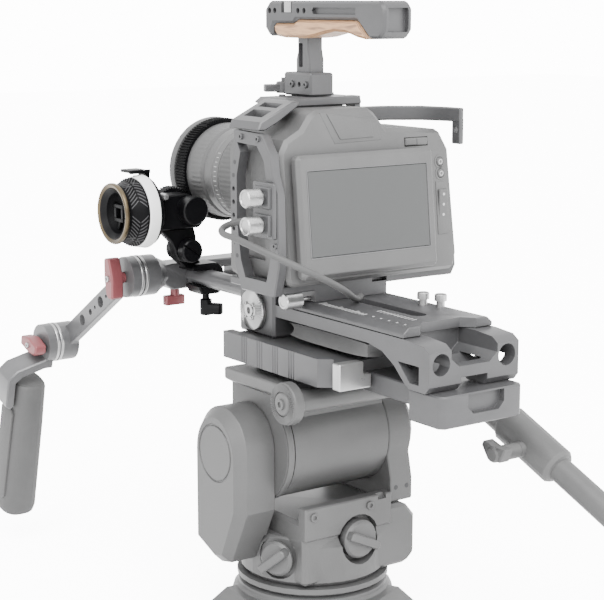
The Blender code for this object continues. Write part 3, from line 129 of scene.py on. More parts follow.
class StageSettings(bpy.types.PropertyGroup):
    floor_size: FloatProperty(
        name="Floor", description="Side of the floor", default=14.0,
        unit="LENGTH", subtype="DISTANCE")
    key_power: FloatProperty(
        name="Key", description="Strength of the key light", default=9.0)
    ambient: FloatProperty(
        name="Ambient", description="Strength of the light from all round", default=3.4)
    backdrop: FloatProperty(
        name="Backdrop", description="Brightness of the backdrop in view", default=14.0)
    floor_lift: FloatProperty(
        name="Floor lift", description="Brightness added to the floor in view", default=8.0)
    fill_power: FloatProperty(
        name="Fill", description="Power of the fill light in watts", default=40.0)


# Materials
def linear(code):
    """Linear colour from an sRGB hex code."""
    parts = [int(code[k:k + 2], 16) / 255 for k in (1, 3, 5)]
    return tuple(v / 12.92 if v <= 0.04045 else ((v + 0.055) / 1.055) ** 2.4 for v in parts) + (1.0,)


def add_node(tree, kind, links=(), **values):
    """A node with its socket values set and its inputs linked as (input name, source socket)."""
    node = tree.nodes.new(kind)
    for key, value in values.items():
        if key in node.inputs:
            node.inputs[key].default_value = value
        else:
            setattr(node, key, value)
    for name, socket in links:
        tree.links.new(socket, node.inputs[name])
    return node


def two_tone(tree, source, dark, light):
    """The colours of a ramp between two stops, each a (position, colour code)."""
    ramp = add_node(tree, "ShaderNodeValToRGB", [("Fac", source)])
    for stop, (position, code) in zip(ramp.color_ramp.elements, (dark, light)):
        stop.position = position
        stop.color = linear(code)
    return ramp.outputs["Color"]


def spread(tree, source, low, high):
    """A value from 0 to 1 spread over a range."""
    node = add_node(tree, "ShaderNodeMapRange", [("Value", source)])
    node.inputs["To Min"].default_value = low
    node.inputs["To Max"].default_value = high
    return node.outputs["Result"]


def in_view(tree, unseen, seen):
    """One value for rays from the camera and another for all other rays."""
    rays = add_node(tree, "ShaderNodeLightPath")
    return spread(tree, rays.outputs["Is Camera Ray"], unseen, seen)


def new_material(name, **values):
    """A material with its tree, its shader and the object-space place for its textures."""
    made = bpy.data.materials.new(name)
    made.use_nodes = True
    tree = made.node_tree
    shader = tree.nodes["Principled BSDF"]
    for key, value in values.items():
        shader.inputs[key].default_value = value
    place = add_node(tree, "ShaderNodeTexCoord").outputs["Object"]
    return made, tree, shader, place


def surface(name, base, shade, rough, metallic, grain, bump, cloud=26.0, specular=0.35):
    """A finish with cloudy tone, uneven gloss and fine grain, all in object space."""
    made, tree, shader, place = new_material(name, Metallic=metallic)
    shader.inputs["Specular IOR Level"].default_value = specular
    tone = add_node(tree, "ShaderNodeTexNoise", [("Vector", place)],
                    Scale=cloud, Detail=5.0, Roughness=0.6).outputs["Fac"]
    colour = two_tone(tree, tone, (0.35, shade), (0.68, base))
    fine = add_node(tree, "ShaderNodeTexNoise", [("Vector", place)],
                    Scale=grain, Detail=3.0, Roughness=0.55)
    gloss = spread(tree, tone, max(rough - 0.08, 0.02), min(rough + 0.10, 1.0))
    relief = add_node(tree, "ShaderNodeBump", [("Height", fine.outputs["Fac"])],
                      Strength=bump, Distance=0.0004)
    tree.links.new(colour, shader.inputs["Base Color"])
    tree.links.new(gloss, shader.inputs["Roughness"])
    tree.links.new(relief.outputs["Normal"], shader.inputs["Normal"])
    return made


def wood():
    """Oiled walnut, grain running along the grip."""
    made, tree, shader, place = new_material("oiled_walnut", Roughness=0.5)
    stretch = add_node(tree, "ShaderNodeMapping", [("Vector", place)],
                       Scale=(420.0, 46.0, 420.0)).outputs["Vector"]
    warp = add_node(tree, "ShaderNodeTexNoise", [("Vector", stretch)],
                    Scale=1.6, Detail=6.0, Roughness=0.65, Distortion=0.6).outputs["Fac"]
    rings = add_node(tree, "ShaderNodeTexWave", [("Vector", stretch)],
                     Scale=0.9, Distortion=5.0, Detail=3.0).outputs["Fac"]
    mix = add_node(tree, "ShaderNodeMath", [(0, warp), (1, rings)], operation="MULTIPLY_ADD")
    mix.inputs[2].default_value = 0.12
    colour = two_tone(tree, mix.outputs["Value"], (0.15, "#5f432c"), (0.62, "#957250"))
    relief = add_node(tree, "ShaderNodeBump", [("Height", warp)], Strength=0.15, Distance=0.0006)
    tree.links.new(colour, shader.inputs["Base Color"])
    tree.links.new(relief.outputs["Normal"], shader.inputs["Normal"])
    return made


def make_finishes():
    """One material for each real finish on the rig; the greys are the pale ones that the photo shows."""
    return {
        # Hard anodised aluminium of the cage, plates and handle frame
        "grey_anodised": surface(
            "grey_anodised_aluminium", "#3d3d3e", "#363637", 0.40, 0.25, 1600, 0.06),
        # Painted castings of the fluid head
        "grey_casting": surface(
            "grey_painted_casting", "#3e3e3e", "#383838", 0.44, 0.0, 1100, 0.16, cloud=18),
        # Moulded and finely textured camera shell
        "grey_plastic": surface(
            "grey_textured_polycarbonate", "#414141", "#3b3b3b", 0.48, 0.0, 1900, 0.22),
        # Cover glass of the screen and the front lens
        "dark_glass": surface(
            "grey_cover_glass", "#333434", "#313232", 0.22, 0.0, 300, 0.0, cloud=6, specular=0.25),
        # Turned and satin-finished steel
        "satin_steel": surface(
            "satin_turned_steel", "#9c9c9c", "#8c8c8c", 0.28, 0.85, 700, 0.05),
        # Alloy of rods and arms
        "rod_alloy": surface(
            "satin_anodised_alloy", "#525253", "#484849", 0.34, 0.45, 1200, 0.05),
        # Grip and cable rubber
        "grip_rubber": surface(
            "grey_grip_rubber", "#3b3b3b", "#343434", 0.62, 0.0, 1500, 0.3),
        # Follow focus and lens gear: black moulded rubber and acetal
        "black_rubber": surface(
            "black_moulded_rubber", "#060607", "#040405", 0.5, 0.0, 1300, 0.2, specular=0.05),
        # Raised tread on the handwheel, painted paler than the rubber under it as a painted highlight on
        # the bars' edges
        "tread_highlight_paint": surface(
            "raised_tread_painted_highlight", "#2e2e2f", "#262627", 0.5, 0.0, 1300, 0.1, specular=0.2),
        # Follow focus metal
        "black_anodised": surface(
            "black_anodised_aluminium", "#050506", "#030304", 0.40, 0.0, 1500, 0.07, specular=0.1),
        # Wood of the top handle
        "walnut": wood(),
        # Red anodised clamping levers, paled as in the photo
        "red_lever": surface(
            "red_anodised_lever", "#6b3a3c", "#5e3134", 0.38, 0.25, 1200, 0.05),
        # Bronze-coloured turned rim
        "brass_ring": surface(
            "bronze_turned_rim", "#584e3c", "#3e3629", 0.30, 0.85, 800, 0.04),
        # White writable focus disc
        "white_disc": surface(
            "white_writing_disc", "#c2c2c1", "#bababa", 0.42, 0.0, 1500, 0.04),
        # Shoulder pad foam with its skin
        "foam": surface(
            "grey_pad_foam", "#454545", "#3c3c3c", 0.9, 0.0, 700, 0.5),
        # Painted shade: dark colour laid where holes and sockets hold only shade, also used for dark joint
        # and printed lines
        "painted_hole_shade_and_dark_lines": surface(
            "painted_hole_shade_and_dark_lines", "#2c2c2d", "#262627", 0.7, 0.0, 900, 0.1),
        # Pale printed and engraved marks
        "pale_mark": surface(
            "pale_engraved_mark", "#8e8e8e", "#868686", 0.6, 0.0, 900, 0.05),
    }


# Filled by main
FINISH = {}


# Mesh tools, in millimetres
def at(*point):
    return Vector(point) * MM


def piece(name, bm, finish, body, stands_for=(), bevel=0.0, sharp_deg=35.0):
    """A finished object at the origin that rides on a body and may stand for CAD nodes."""
    bmesh.ops.recalc_face_normals(bm, faces=bm.faces)
    mesh = bpy.data.meshes.new(name)
    bm.to_mesh(mesh)
    bm.free()
    mesh.shade_smooth()
    mesh.set_sharp_from_angle(angle=math.radians(sharp_deg))
    mesh.materials.append(FINISH[finish])
    made = bpy.data.objects.new(name, mesh)
    bpy.context.scene.collection.objects.link(made)
    if bevel > 0:
        rounding = made.modifiers.new("rounding", "BEVEL")
        rounding.width = bevel
        rounding.segments = 3
        rounding.limit_method = "ANGLE"
        rounding.angle_limit = math.radians(ROUNDED_FROM_DEG)
        rounding.harden_normals = True
    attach(made, body)
    if stands_for:
        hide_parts(*stands_for)
    return made


def soften(node, bevel):
    """A copy of a CAD node with its flat faces merged and its edges rounded."""
    bm = bmesh.new()
    bm.from_mesh(frame["nodes"][node].data)
    bmesh.ops.remove_doubles(bm, verts=bm.verts, dist=WELD_DISTANCE)
    bmesh.ops.dissolve_limit(bm, angle_limit=math.radians(FLAT_DEG), verts=bm.verts, edges=bm.edges)
    piece(f"{node}_form", bm, SLOT_OF[node], BODY_OF[node], (node,), bevel, ROUNDED_FROM_DEG)


def facing(axis):
    """The turn that brings +Z onto an axis given by name or as a vector."""
    named = {"x": Vector((1, 0, 0)), "y": Vector((0, 1, 0)), "z": UP}
    way = named[axis] if isinstance(axis, str) else axis
    return way.to_track_quat("Z", "Y").to_matrix().to_4x4()


def spun(profile, axis, centre, steps, ring=False, wave=None):
    """A profile of (radius, along) spun about an axis; wave(row, angle) adds to both."""
    bm = bmesh.new()
    shift = Matrix.Translation(at(*centre)) @ facing(axis)
    rows = []
    for row, (radius, along) in enumerate(profile):
        loop = []
        for k in range(steps if radius > 0 else 1):
            angle = math.tau * k / steps
            out, up = wave(row, angle) if wave else (0, 0)
            reach = radius + out
            point = at(reach * math.cos(angle), reach * math.sin(angle), along + up)
            loop.append(bm.verts.new(shift @ point))
        rows.append(loop)
    pairs = list(zip(rows, rows[1:]))
    if ring:
        pairs.append((rows[-1], rows[0]))
    for low, high in pairs:
        for k in range(steps):
            nxt = (k + 1) % steps
            corners = [low[k % len(low)], low[nxt % len(low)], high[nxt % len(high)], high[k % len(high)]]
            corners = list(dict.fromkeys(corners))
            if len(corners) > 2:
                bm.faces.new(corners)
    return bm


def turned(node, profile, axis, centre, ring=False, wave=None, steps=None):
    """A finely turned form that stands for a CAD node."""
    steps = steps or bpy.context.scene.rig_dressing.steps
    bm = spun(profile, axis, centre, steps, ring, wave)
    piece(f"{node}_form", bm, SLOT_OF[node], BODY_OF[node], (node,), 0.0, 30.0)


def flutes(rows, count, depth):
    """A wave of straight flutes on the named rows."""
    return lambda row, angle: (-depth * (0.5 + 0.5 * math.cos(count * angle)) if row in rows else 0.0, 0.0)


def teeth(rows, count, depth):
    """A wave of radial teeth on the named rows."""
    return lambda row, angle: (0.0, depth * math.cos(count * angle) if row in rows else 0.0)


def merge(parts):
    """Several meshes in one."""
    whole = bmesh.new()
    scratch = bpy.data.meshes.new("scratch")
    for part in parts:
        part.to_mesh(scratch)
        part.free()
        whole.from_mesh(scratch)
    bpy.data.meshes.remove(scratch)
    return whole


def rounded(bm, offset):
    """Rounds every sharp edge of a mesh."""
    if offset > 0:
        bmesh.ops.recalc_face_normals(bm, faces=bm.faces)
        sharp = [edge for edge in bm.edges if edge.calc_face_angle(0) > SHARP_ANGLE]
        bmesh.ops.bevel(bm, geom=sharp, offset=offset * MM, offset_type="OFFSET", segments=3,
                        profile=0.5, affect="EDGES", clamp_overlap=True, material=-1)
    return bm


def block(low, high, offset=0.0):
    """A block between two corners."""
    bm = bmesh.new()
    bmesh.ops.create_cube(bm, size=1.0)
    size = Vector(high) - Vector(low)
    middle = (Vector(high) + Vector(low)) / 2
    bm.transform(Matrix.Translation(middle * MM) @ Matrix.Diagonal((*(size * MM), 1.0)))
    return rounded(bm, offset)


def prism(outline, axis, low, high, offset=0.0):
    """An outline across an axis, extruded along it."""
    order = {
        "x": lambda a, b, c: at(c, a, b),
        "y": lambda a, b, c: at(a, c, b),
        "z": lambda a, b, c: at(a, b, c),
    }[axis]
    bm = bmesh.new()
    near = [bm.verts.new(order(a, b, low)) for a, b in outline]
    far = [bm.verts.new(order(a, b, high)) for a, b in outline]
    bm.faces.new(near)
    bm.faces.new(far)
    for k in range(len(outline)):
        bm.faces.new((near[k - 1], near[k], far[k], far[k - 1]))
    return rounded(bm, offset)


def disc(centre, axis, radius, height=0.3):
    return spun([(0, 0), (radius, 0), (radius, height), (0, height)], axis, centre, SMALL_STEPS)


def cap_screw(centre, axis, radius):
    """A cap screw with a round socket, standing along axis from its seat."""
    well = radius * 0.52
    profile = [(0, 0), (radius, 0), (radius, 1.3), (radius - 0.3, 1.6), (well, 1.6), (well, 0.5), (0, 0.4)]
    return spun(profile, axis, centre, SMALL_STEPS)


def screws(name, body, places, finish="satin_steel"):
    piece(name, merge([cap_screw(*place) for place in places]), finish, body)


def rear_y(z):
    """The camera's rear face leans with height."""
    return REAR_TOP_Y - (REAR_TOP_Z - z) * math.tan(math.radians(REAR_LEAN_DEG))


def on_rear(outline, low, high, offset=0.0):
    """An outline of (x, z) laid on the camera's rear face, from low to high off it."""
    bm = prism(outline, "y", low, high, offset)
    for v in bm.verts:
        v.co.y += rear_y(v.co.z / MM) * MM
    return bm


# Pieces
class RIG_OT_head(bpy.types.Operator):
    """Softens the tripod crown and fluid head and adds their rosette teeth, collar and screws"""

    bl_idname = "rig.head"
    bl_label = "Fluid head"

    def execute(self, context):
        rig = context.scene.rig_dressing
        for node in ("tripod_crown", "head_base_housing", "tilt_cover_left", "cheek_right", "pan_bar"):
            soften(node, rig.cast_edge)
        for node in ("tilt_drum", "head_platform", "pan_drag_knob", "pan_lock_knob", "pan_bar_screw"):
            soften(node, rig.edge)
        collar = [(42.0, -53.2), (43.8, -53.2), (44.1, -52.6), (44.1, -48.4), (43.4, -47.6), (42.0, -47.6)]
        piece("drum_collar", spun(collar, "x", DRUM_CENTRE, rig.steps, ring=True), "grey_casting", RIG)
        profile = [(9.6, -74.0), (15.0, -74.0), (15.0, -75.2), (9.6, -75.2)]
        ring = spun(profile, "x", (0, *PLATFORM_ROSETTE), TOOTHED_STEPS, True, teeth((2, 3), 60, 0.35))
        piece("platform_rosette_teeth", ring, "grey_casting", RIG)
        hub_screw = ((-76.0, *PLATFORM_ROSETTE), LEFT, 4.2)
        screws("platform_rosette_screw", RIG, [hub_screw], "grey_casting")
        housing_screws = [((x, -52, 101), BACK, 3.4) for x in (-36, 18)]
        screws("housing_screws", "pan_body", housing_screws, "grey_casting")
        # Dark discs painted as the shade inside two holes in the cheek
        holes = [disc((x, -44.8, 108), BACK, 2.0) for x in (49.5, 60.5)]
        piece("cheek_hole_painted_shade", merge(holes), "painted_hole_shade_and_dark_lines", "pan_body")
        return {"FINISHED"}


class RIG_OT_support(bpy.types.Operator):
    """Softens the adapter, shoulder plate and rods and adds the pad, ruler and studs"""

    bl_idname = "rig.support"
    bl_label = "Shoulder support"

    def execute(self, context):
        rig = context.scene.rig_dressing
        for node in ("tripod_adapter", "shoulder_plate", "sliding_plate", "adapter_release"):
            soften(node, rig.edge)
        rod = [(0, -2), (6.5, -2), (7.5, -1), (7.5, 155), (6.5, 156), (4, 156), (4, 144), (0, 144)]
        for node, x in (("rod_left", -30), ("rod_right", 30)):
            turned(node, rod, "y", (x, 0, ROD_Z))
        self.rosettes()
        knob = [(0, -58.0), (3.6, -58.0), (3.9, -58.3), (5.4, -58.3), (6.2, -57.3),
                (6.2, -43.3), (4, -42.3), (1.7, -42.3), (1.7, -34.3), (0, -34.3)]
        turned("plate_lock_knob", knob, "x", (0, -43, 270.2), wave=flutes((4, 5), 48, 0.25),
               steps=FLUTED_STEPS)
        self.marks()
        self.pad()
        return {"FINISHED"}

    def rosettes(self):
        """Toothed discs on both sides and the screws that hold the left one."""
        profile = [(0, 0), (16, 0), (16, 2.4), (15.4, 3.2), (8.4, 4.6), (7.2, 4.2), (5.4, 4.4),
                   (5, 5.5), (2.9, 5.5), (2.6, 5.2), (2.6, 2.5), (0, 2.5)]
        for node, side in (("side_rosette_left", -1), ("side_rosette_right", 1)):
            turned(node, profile, Vector((side, 0, 0)), (side * 43.3, *SIDE_ROSETTE),
                   wave=teeth((3, 4), 48, 0.3), steps=FLUTED_STEPS)
        y, z = SIDE_ROSETTE
        places = []
        for angle in (0.8, 0.8 + math.pi / 2, 0.8 + math.pi, 0.8 + 1.5 * math.pi):
            seat = (-47.4, y + 7.0 * math.cos(angle), z + 7.0 * math.sin(angle))
            places.append((seat, LEFT, 1.5))
        screws("rosette_screws", RIG, places)

    def marks(self):
        """Ruler ticks and dots along the plate's left edge and two spare studs in its rear."""
        ticks = []
        for k, y in enumerate(range(-56, -112, -4)):
            right = -29.5 if k % 5 else -27.5
            ticks.append(block((-34.5, y - 0.5, PLATE_TOP), (right, y + 0.5, PLATE_TOP + 0.3)))
        for y in range(-118, -160, -9):
            ticks.append(disc((-31.5, y, PLATE_TOP), "z", 0.9))
        for y in range(-104, -148, -4):
            ticks.append(block((-17.5, y - 0.4, PLATE_TOP), (-13.0, y + 0.4, PLATE_TOP + 0.3)))
        piece("plate_ruler", merge(ticks), "pale_mark", RIG)
        stud = [(0, 268.05), (3.2, 268.05), (3.2, 272.5), (4.6, 272.8), (4.6, 277.2), (4.0, 277.8),
                (2.2, 277.8), (2.0, 275.8), (0, 275.8)]
        studs = [spun(stud, "z", (x, y, 0), STUD_STEPS) for x, y in ((26, -104), (31.5, -117.5))]
        piece("plate_studs", merge(studs), "satin_steel", RIG)

    def pad(self):
        """A foam cushion with rounded edges that fills the arch under the plate."""
        bm = bmesh.new()
        bmesh.ops.create_cube(bm, size=2.0)
        bmesh.ops.subdivide_edges(bm, edges=bm.edges[:], cuts=15, use_grid_fill=True)
        for v in bm.verts:
            x, y, z = v.co
            crown = 1 - 0.35 * (x ** 4 + y ** 4) / 2
            draw = 1 - 0.05 * (1 - z ** 2) - 0.03 * (x * y) ** 4
            v.co = at(x * 38 * draw, y * 50 * draw - 70, z * 6.9 * crown + 243.7)
        cushion = piece("shoulder_pad_form", bm, "foam", RIG, ("shoulder_pad",), 0.0, 60.0)


class RIG_OT_camera(bpy.types.Operator):
    """Softens the camera body, screen and keys and adds their panels, lines and marks"""

    bl_idname = "rig.camera"
    bl_label = "Camera"

    def execute(self, context):
        rig = context.scene.rig_dressing
        soften("camera_body", rig.cast_edge)
        soften("lcd_panel", rig.cast_edge * 0.7)
        soften("lcd_glass", 0.0001)
        for node in ("button_round_upper", "button_round_lower", "key_pad", "top_keys"):
            soften(node, rig.edge * 0.6)
        self.panels()
        self.marks()
        self.screen_frame()
        return {"FINISHED"}

    def panels(self):
        """Low plates on the rear face and a door on the left side."""
        panel = [(-28, 409), (24, 403.5), (28.5, 386.5), (-15.5, 385.5)]
        piece("hump_panel", on_rear(panel, -0.25, 0.5, 0.3), "grey_plastic", RIG)
        door = [(-22, 408), (18.5, 402.5), (21, 389), (-10.5, 388.4)]
        piece("hump_door", on_rear(door, -0.9, -0.1, 0.4), "grey_plastic", RIG)
        surround = [(79.2, 352), (88.5, 351), (91.4, 347), (91.4, 314), (88.5, 311), (79.2, 311)]
        piece("key_surround", on_rear(surround, -0.5, 0.5, 0.3), "grey_plastic", RIG)
        side = [(-40, 352), (-12, 352), (-12, 378), (-18, 384), (-40, 384)]
        piece("port_door", prism(side, "x", -65.7, -64.5, 0.4), "grip_rubber", RIG)

    def marks(self):
        """Dots on the key pad, rings on and round the two keys and the rocker's dividing line."""
        lean = math.radians(REAR_LEAN_DEG)
        out = Vector((0, -math.cos(lean), math.sin(lean)))
        pad_face = rear_y(330) - 1.15
        dots = [disc((85.2, pad_face, z), BACK, 1.1, 0.15) for z in (342, 334, 326, 318)]
        piece("pad_marks", merge(dots), "pale_mark", "pad")
        ring = [(1.3, 0), (1.9, 0), (1.9, 0.15), (1.3, 0.15)]
        collar = [(3.65, -0.3), (5.4, -0.3), (5.3, 0.3), (3.75, 0.3)]
        for body, x, z in (("key_upper", 84.5, 367), ("key_lower", 84.8, 358)):
            mark = spun(ring, BACK, (x, rear_y(z) - 1.15, z), PIN_STEPS, ring=True)
            piece(f"{body}_mark", mark, "pale_mark", body)
            rim = spun(collar, out, (x, rear_y(z), z), STUD_STEPS, ring=True)
            piece(f"{body}_collar", rim, "grey_plastic", RIG)
        rocker_face = rear_y(383.5)
        split = block((61.7, rocker_face - 1.3, 381), (62.3, rocker_face - 1.1, 386))
        piece("rocker_split", split, "painted_hole_shade_and_dark_lines", "rocker")

    def screen_frame(self):
        """A pale sealing line round the glass, laid in the screen's own frame."""
        wide, low, high = 55.9, -75.2, -11.8
        front, rear = -11.25, -10.9
        line = merge([
            block((-wide, front, low - 0.7), (wide, rear, low)),
            block((-wide, front, high), (wide, rear, high + 0.5)),
            block((-wide - 0.7, front, low - 0.7), (-wide, rear, high + 0.5)),
            block((wide, front, low - 0.7), (wide + 0.5, rear, high + 0.5)),
        ])
        hinge = Matrix.Translation(at(5, rear_y(379) - 1.5, 379))
        line.transform(hinge @ Matrix.Rotation(math.radians(-REAR_LEAN_DEG), 4, "X"))
        piece("screen_frame", line, "rod_alloy", "screen")


class RIG_OT_lens(bpy.types.Operator):
    """Builds the lens barrel, its fluted rings, scale and glass"""

    bl_idname = "rig.lens"
    bl_label = "Lens"

    def execute(self, context):
        barrel = [(0, 20.3), (30, 20.3), (30, 28), (35, 31), (36.5, 33), (36.5, 38), (36.1, 38.4),
                  (36.1, 38.9), (36.5, 39.3), (36.5, 44), (33, 44.5), (33, 80), (36.5, 80.5), (36.9, 88),
                  (36.4, 88.5), (36.4, 89.2), (37, 89.7), (37.5, 99), (37, 100), (33, 100.5), (33, 138.5),
                  (42.2, 138.8), (43, 140.5), (43, 145), (42.2, 146), (39.4, 146), (38.6, 145), (36, 141),
                  (0, 140.5)]
        turned("lens_barrel", barrel, "y", LENS_AXIS)
        zoom = [(33.3, 45), (36.7, 45), (37.3, 46), (37.7, 47), (37.7, 76), (37.3, 77.5), (36.7, 79.5),
                (33.3, 79.5)]
        turned("zoom_ring", zoom, "y", LENS_AXIS, True, flutes((3, 4), 60, 0.7), TOOTHED_STEPS)
        focus = [(33.3, 101), (36.5, 101), (38, 104), (38.2, 106), (38.9, 115), (39.2, 118), (39.2, 138),
                 (33.3, 138)]
        turned("focus_ring", focus, "y", LENS_AXIS, True, flutes((3, 4), 60, 0.5), TOOTHED_STEPS)
        glass = [(0, 141.3), (32, 141.3), (32, 142.1), (27, 143.4), (22, 144.1), (17, 144.7), (12, 145.05),
                 (6, 145.25), (0, 145.3)]
        turned("lens_glass", glass, "y", LENS_AXIS)
        soften("focus_gear_ring", 0.0)
        ticks = [self.tick(math.radians(150 + 6 * k), 3.0 if k % 3 else 4.5) for k in range(17)]
        piece("lens_scale", merge(ticks), "pale_mark", RIG)
        return {"FINISHED"}

    def tick(self, angle, length):
        """A line of the scale, turned to its place round the barrel."""
        radius, y = 36.7, 83.0
        mark = block((radius - 0.4, y, -0.25), (radius + 0.12, y + length, 0.25))
        mark.transform(Matrix.Translation(at(*LENS_AXIS)) @ Matrix.Rotation(-angle, 4, "Y"))
        return mark


class RIG_OT_cage(bpy.types.Operator):
    """Softens the cage and handle and adds the clamp knobs, thumbwheel, screws and dark discs painted as
    the shade in holes
    """

    bl_idname = "rig.cage"
    bl_label = "Cage and handle"

    def execute(self, context):
        rig = context.scene.rig_dressing
        for node in ("cage_left", "cage_top", "cage_base", "cage_right_arm", "cable_clamp",
                     "handle_frame", "handle_post", "handle_lock_lever"):
            soften(node, rig.edge)
        soften("handle_grip_wood", rig.cast_edge)
        knob = [(0, -94.7), (4.7, -94.7), (5.0, -95.3), (6.0, -95.3), (6.8, -94.4), (6.8, -83.4),
                (5, -82.3), (5, -81.3), (0, -81.3)]
        for node, z in (("clamp_knob_upper", 350), ("clamp_knob_lower", 330)):
            turned(node, knob, "x", (0, -48, z), wave=flutes((4, 5), 48, 0.25), steps=FLUTED_STEPS)
        self.thumbwheel()
        cage_screws = [((-75, y, z), LEFT, 2.2) for y, z in ((-36, 391), (-14, 391.5), (-58, 315))]
        cage_screws += [((x, 10, 418), UP, 2.6) for x in (-22, 24)]
        screws("cage_screws", RIG, cage_screws, "grey_anodised")
        # Dark discs painted as the shade inside holes in the cage upright
        holes = [disc((-74.9, y, z), LEFT, 1.7, 0.25) for y, z in ((-2.5, 362), (-4.5, 372), (-7.0, 302))]
        piece("cage_upright_hole_painted_shade", merge(holes), "painted_hole_shade_and_dark_lines", RIG)
        screws("handle_screws", RIG, [((-11, y, 427), LEFT, 2.4) for y in (-6, 12)], "grey_anodised")
        return {"FINISHED"}

    def thumbwheel(self):
        """What shows in the handle's notch of a knurled wheel on an upright axis."""
        rim = []
        for side in (0, math.pi):
            for k in range(-10, 11):
                angle = side + math.radians(2.1 * k)
                reach = 12.8 - 0.35 * (k % 2)
                rim.append((reach * math.cos(angle), 17 + reach * math.sin(angle)))
        piece("handle_thumbwheel", prism(rim, "z", 481.2, 489.6), "satin_steel", RIG)


class RIG_OT_follow_focus(bpy.types.Operator):
    """Builds the follow focus wheel with its tread, hub and rim, and softens its gearbox and mount"""

    bl_idname = "rig.follow_focus"
    bl_label = "Follow focus"

    def execute(self, context):
        rig = context.scene.rig_dressing
        for node in ("ff_gearbox", "ff_index_pointer", "ff_swing_arm", "ff_pivot_knob", "ff_rod_clamp",
                     "ff_clamp_lever"):
            soften(node, rig.edge * 0.6)
        soften("ff_drive_gear", 0.0)
        y, z = WHEEL_AXIS
        axis = (0, y, z)
        white = [(22, -86.8), (28.7, -86.8), (29.3, -87.1), (29.5, -87.8), (28.2, -95.2), (27.6, -95.8),
                 (22, -95.8)]
        turned("ff_marking_disc", white, "x", axis, True)
        mark = block((-95.4, y - 0.3, z + 28.1), (-87.2, y + 0.3, z + 29.4))
        piece("disc_tick", mark, "painted_hole_shade_and_dark_lines", "ff_wheel")
        rim = [(17.5, -111.3), (22.2, -111.3), (23.6, -112.0), (24.4, -113.0), (24.5, -114.4),
               (24.1, -115.4), (23.2, -116), (22.2, -115.8), (20.5, -114.9), (19, -112.9)]
        turned("ff_rim_ring", rim, "x", axis, True)
        liner = [(16.9, -111.2), (18.8, -113.1), (20.6, -115.05), (20.1, -115.35), (18.2, -113.3),
                 (16.3, -111.2)]
        piece("rim_liner", spun(liner, "x", axis, rig.steps, ring=True), "black_anodised", "ff_wheel")
        self.wheel(axis)
        self.hub()
        lip = block((-98.6, 112.4, 353.8), (-79.8, 114.2, 356.9), 0.5)
        piece("index_lip", lip, "black_anodised", "ff_head")
        gearbox_screws = [((-78, 101, height), BACK, 1.5) for height in (313, 331)]
        screws("gearbox_screws", "ff_head", gearbox_screws, "black_anodised")
        pin = [(0, 0), (2.6, 0), (2.9, 1), (2.9, 6), (2.2, 8), (0, 8.6)]
        piece("stop_pin", spun(pin, BACK, (-77, 101, 336), PIN_STEPS), "satin_steel", "ff_head")
        return {"FINISHED"}

    def wheel(self, axis):
        """The waisted wheel and the raised bars of its tread."""
        flare = [(27.5, -96.6), (27.3, -98.8), (26, -101.4), (24.5, -103.8), (23.1, -106), (22.2, -107.8),
                 (21.8, -110), (22.1, -111)]
        seat = [(0, -86.8), (21.7, -86.8), (21.7, -96.1), (27.2, -96.1)]
        dish = [(17, -111), (16, -107), (14, -104.6), (12, -104), (0, -104)]
        body = spun(seat + flare + dish, "x", axis, WHEEL_STEPS)
        piece("ff_handwheel_form", body, "black_rubber", "ff_wheel", ("ff_handwheel",), 0.0, 30.0)
        outer = sorted((x, r) for r, x in flare)
        places, group = 48, 8
        bars = []
        for k in range(places):
            if k % group == group - 1:
                continue
            start = math.tau * k / places
            way = 1 if (k // group) % 2 else -1
            bars.append(self.chevron(axis, outer, -98.0, -102.6, start, 0.2 * way))
            bars.append(self.chevron(axis, outer, -109.3, -103.6, start, 0.22 * way))
        # The tread bars take a paler colour, a painted highlight on their edges
        piece("wheel_tread", merge(bars), "tread_highlight_paint", "ff_wheel")

    def hub(self):
        """A square frame in the wheel's dish and the four webs that hold it."""
        y, z = WHEEL_AXIS
        front, rear = -109.6, -103.8
        parts = []
        for mid in (z - 5.5, z + 5.5):
            parts.append(block((front, y - 7, mid - 1.5), (rear, y + 7, mid + 1.5), 0.4))
        for mid in (y - 5.5, y + 5.5):
            parts.append(block((front, mid - 1.5, z - 4), (rear, mid + 1.5, z + 4), 0.4))
        for turn in range(4):
            web = block((-107.2, -1.4, 6.8), (rear, 1.4, 14.6), 0.4)
            angle = turn * math.pi / 2 + 0.4
            web.transform(Matrix.Translation(at(0, y, z)) @ Matrix.Rotation(angle, 4, "X"))
            parts.append(web)
        piece("wheel_hub", merge(parts), "black_anodised", "ff_wheel")

    def chevron(self, axis, outer, near, far, start, sweep):
        """A slanted bar that follows the wheel's flare between two stations along its axis."""
        bm = bmesh.new()
        spans = 4
        rows = []
        for k in range(spans + 1):
            x = near + (far - near) * k / spans
            radius = self.radius_at(outer, x)
            angle = start + sweep * k / spans
            half = 0.6 / radius
            foot, top = radius - 0.5, radius + 0.55
            corners = [(foot, angle - half), (top, angle - half * 0.7), (top, angle + half * 0.7),
                       (foot, angle + half)]
            points = [at(x, axis[1] + r * math.cos(a), axis[2] + r * math.sin(a)) for r, a in corners]
            rows.append([bm.verts.new(point) for point in points])
        for low, high in zip(rows, rows[1:]):
            for k in range(len(low)):
                nxt = (k + 1) % len(low)
                bm.faces.new((low[k], low[nxt], high[nxt], high[k]))
        bm.faces.new(rows[0])
        bm.faces.new(list(reversed(rows[-1])))
        return bm

    def radius_at(self, outer, x):
        """The wheel's radius at a station along its axis."""
        spans = zip(outer, outer[1:])
        (x0, r0), (x1, r1) = next(span for span in spans if span[0][0] <= x <= span[1][0])
        return r0 + (r1 - r0) * (x - x0) / (x1 - x0)


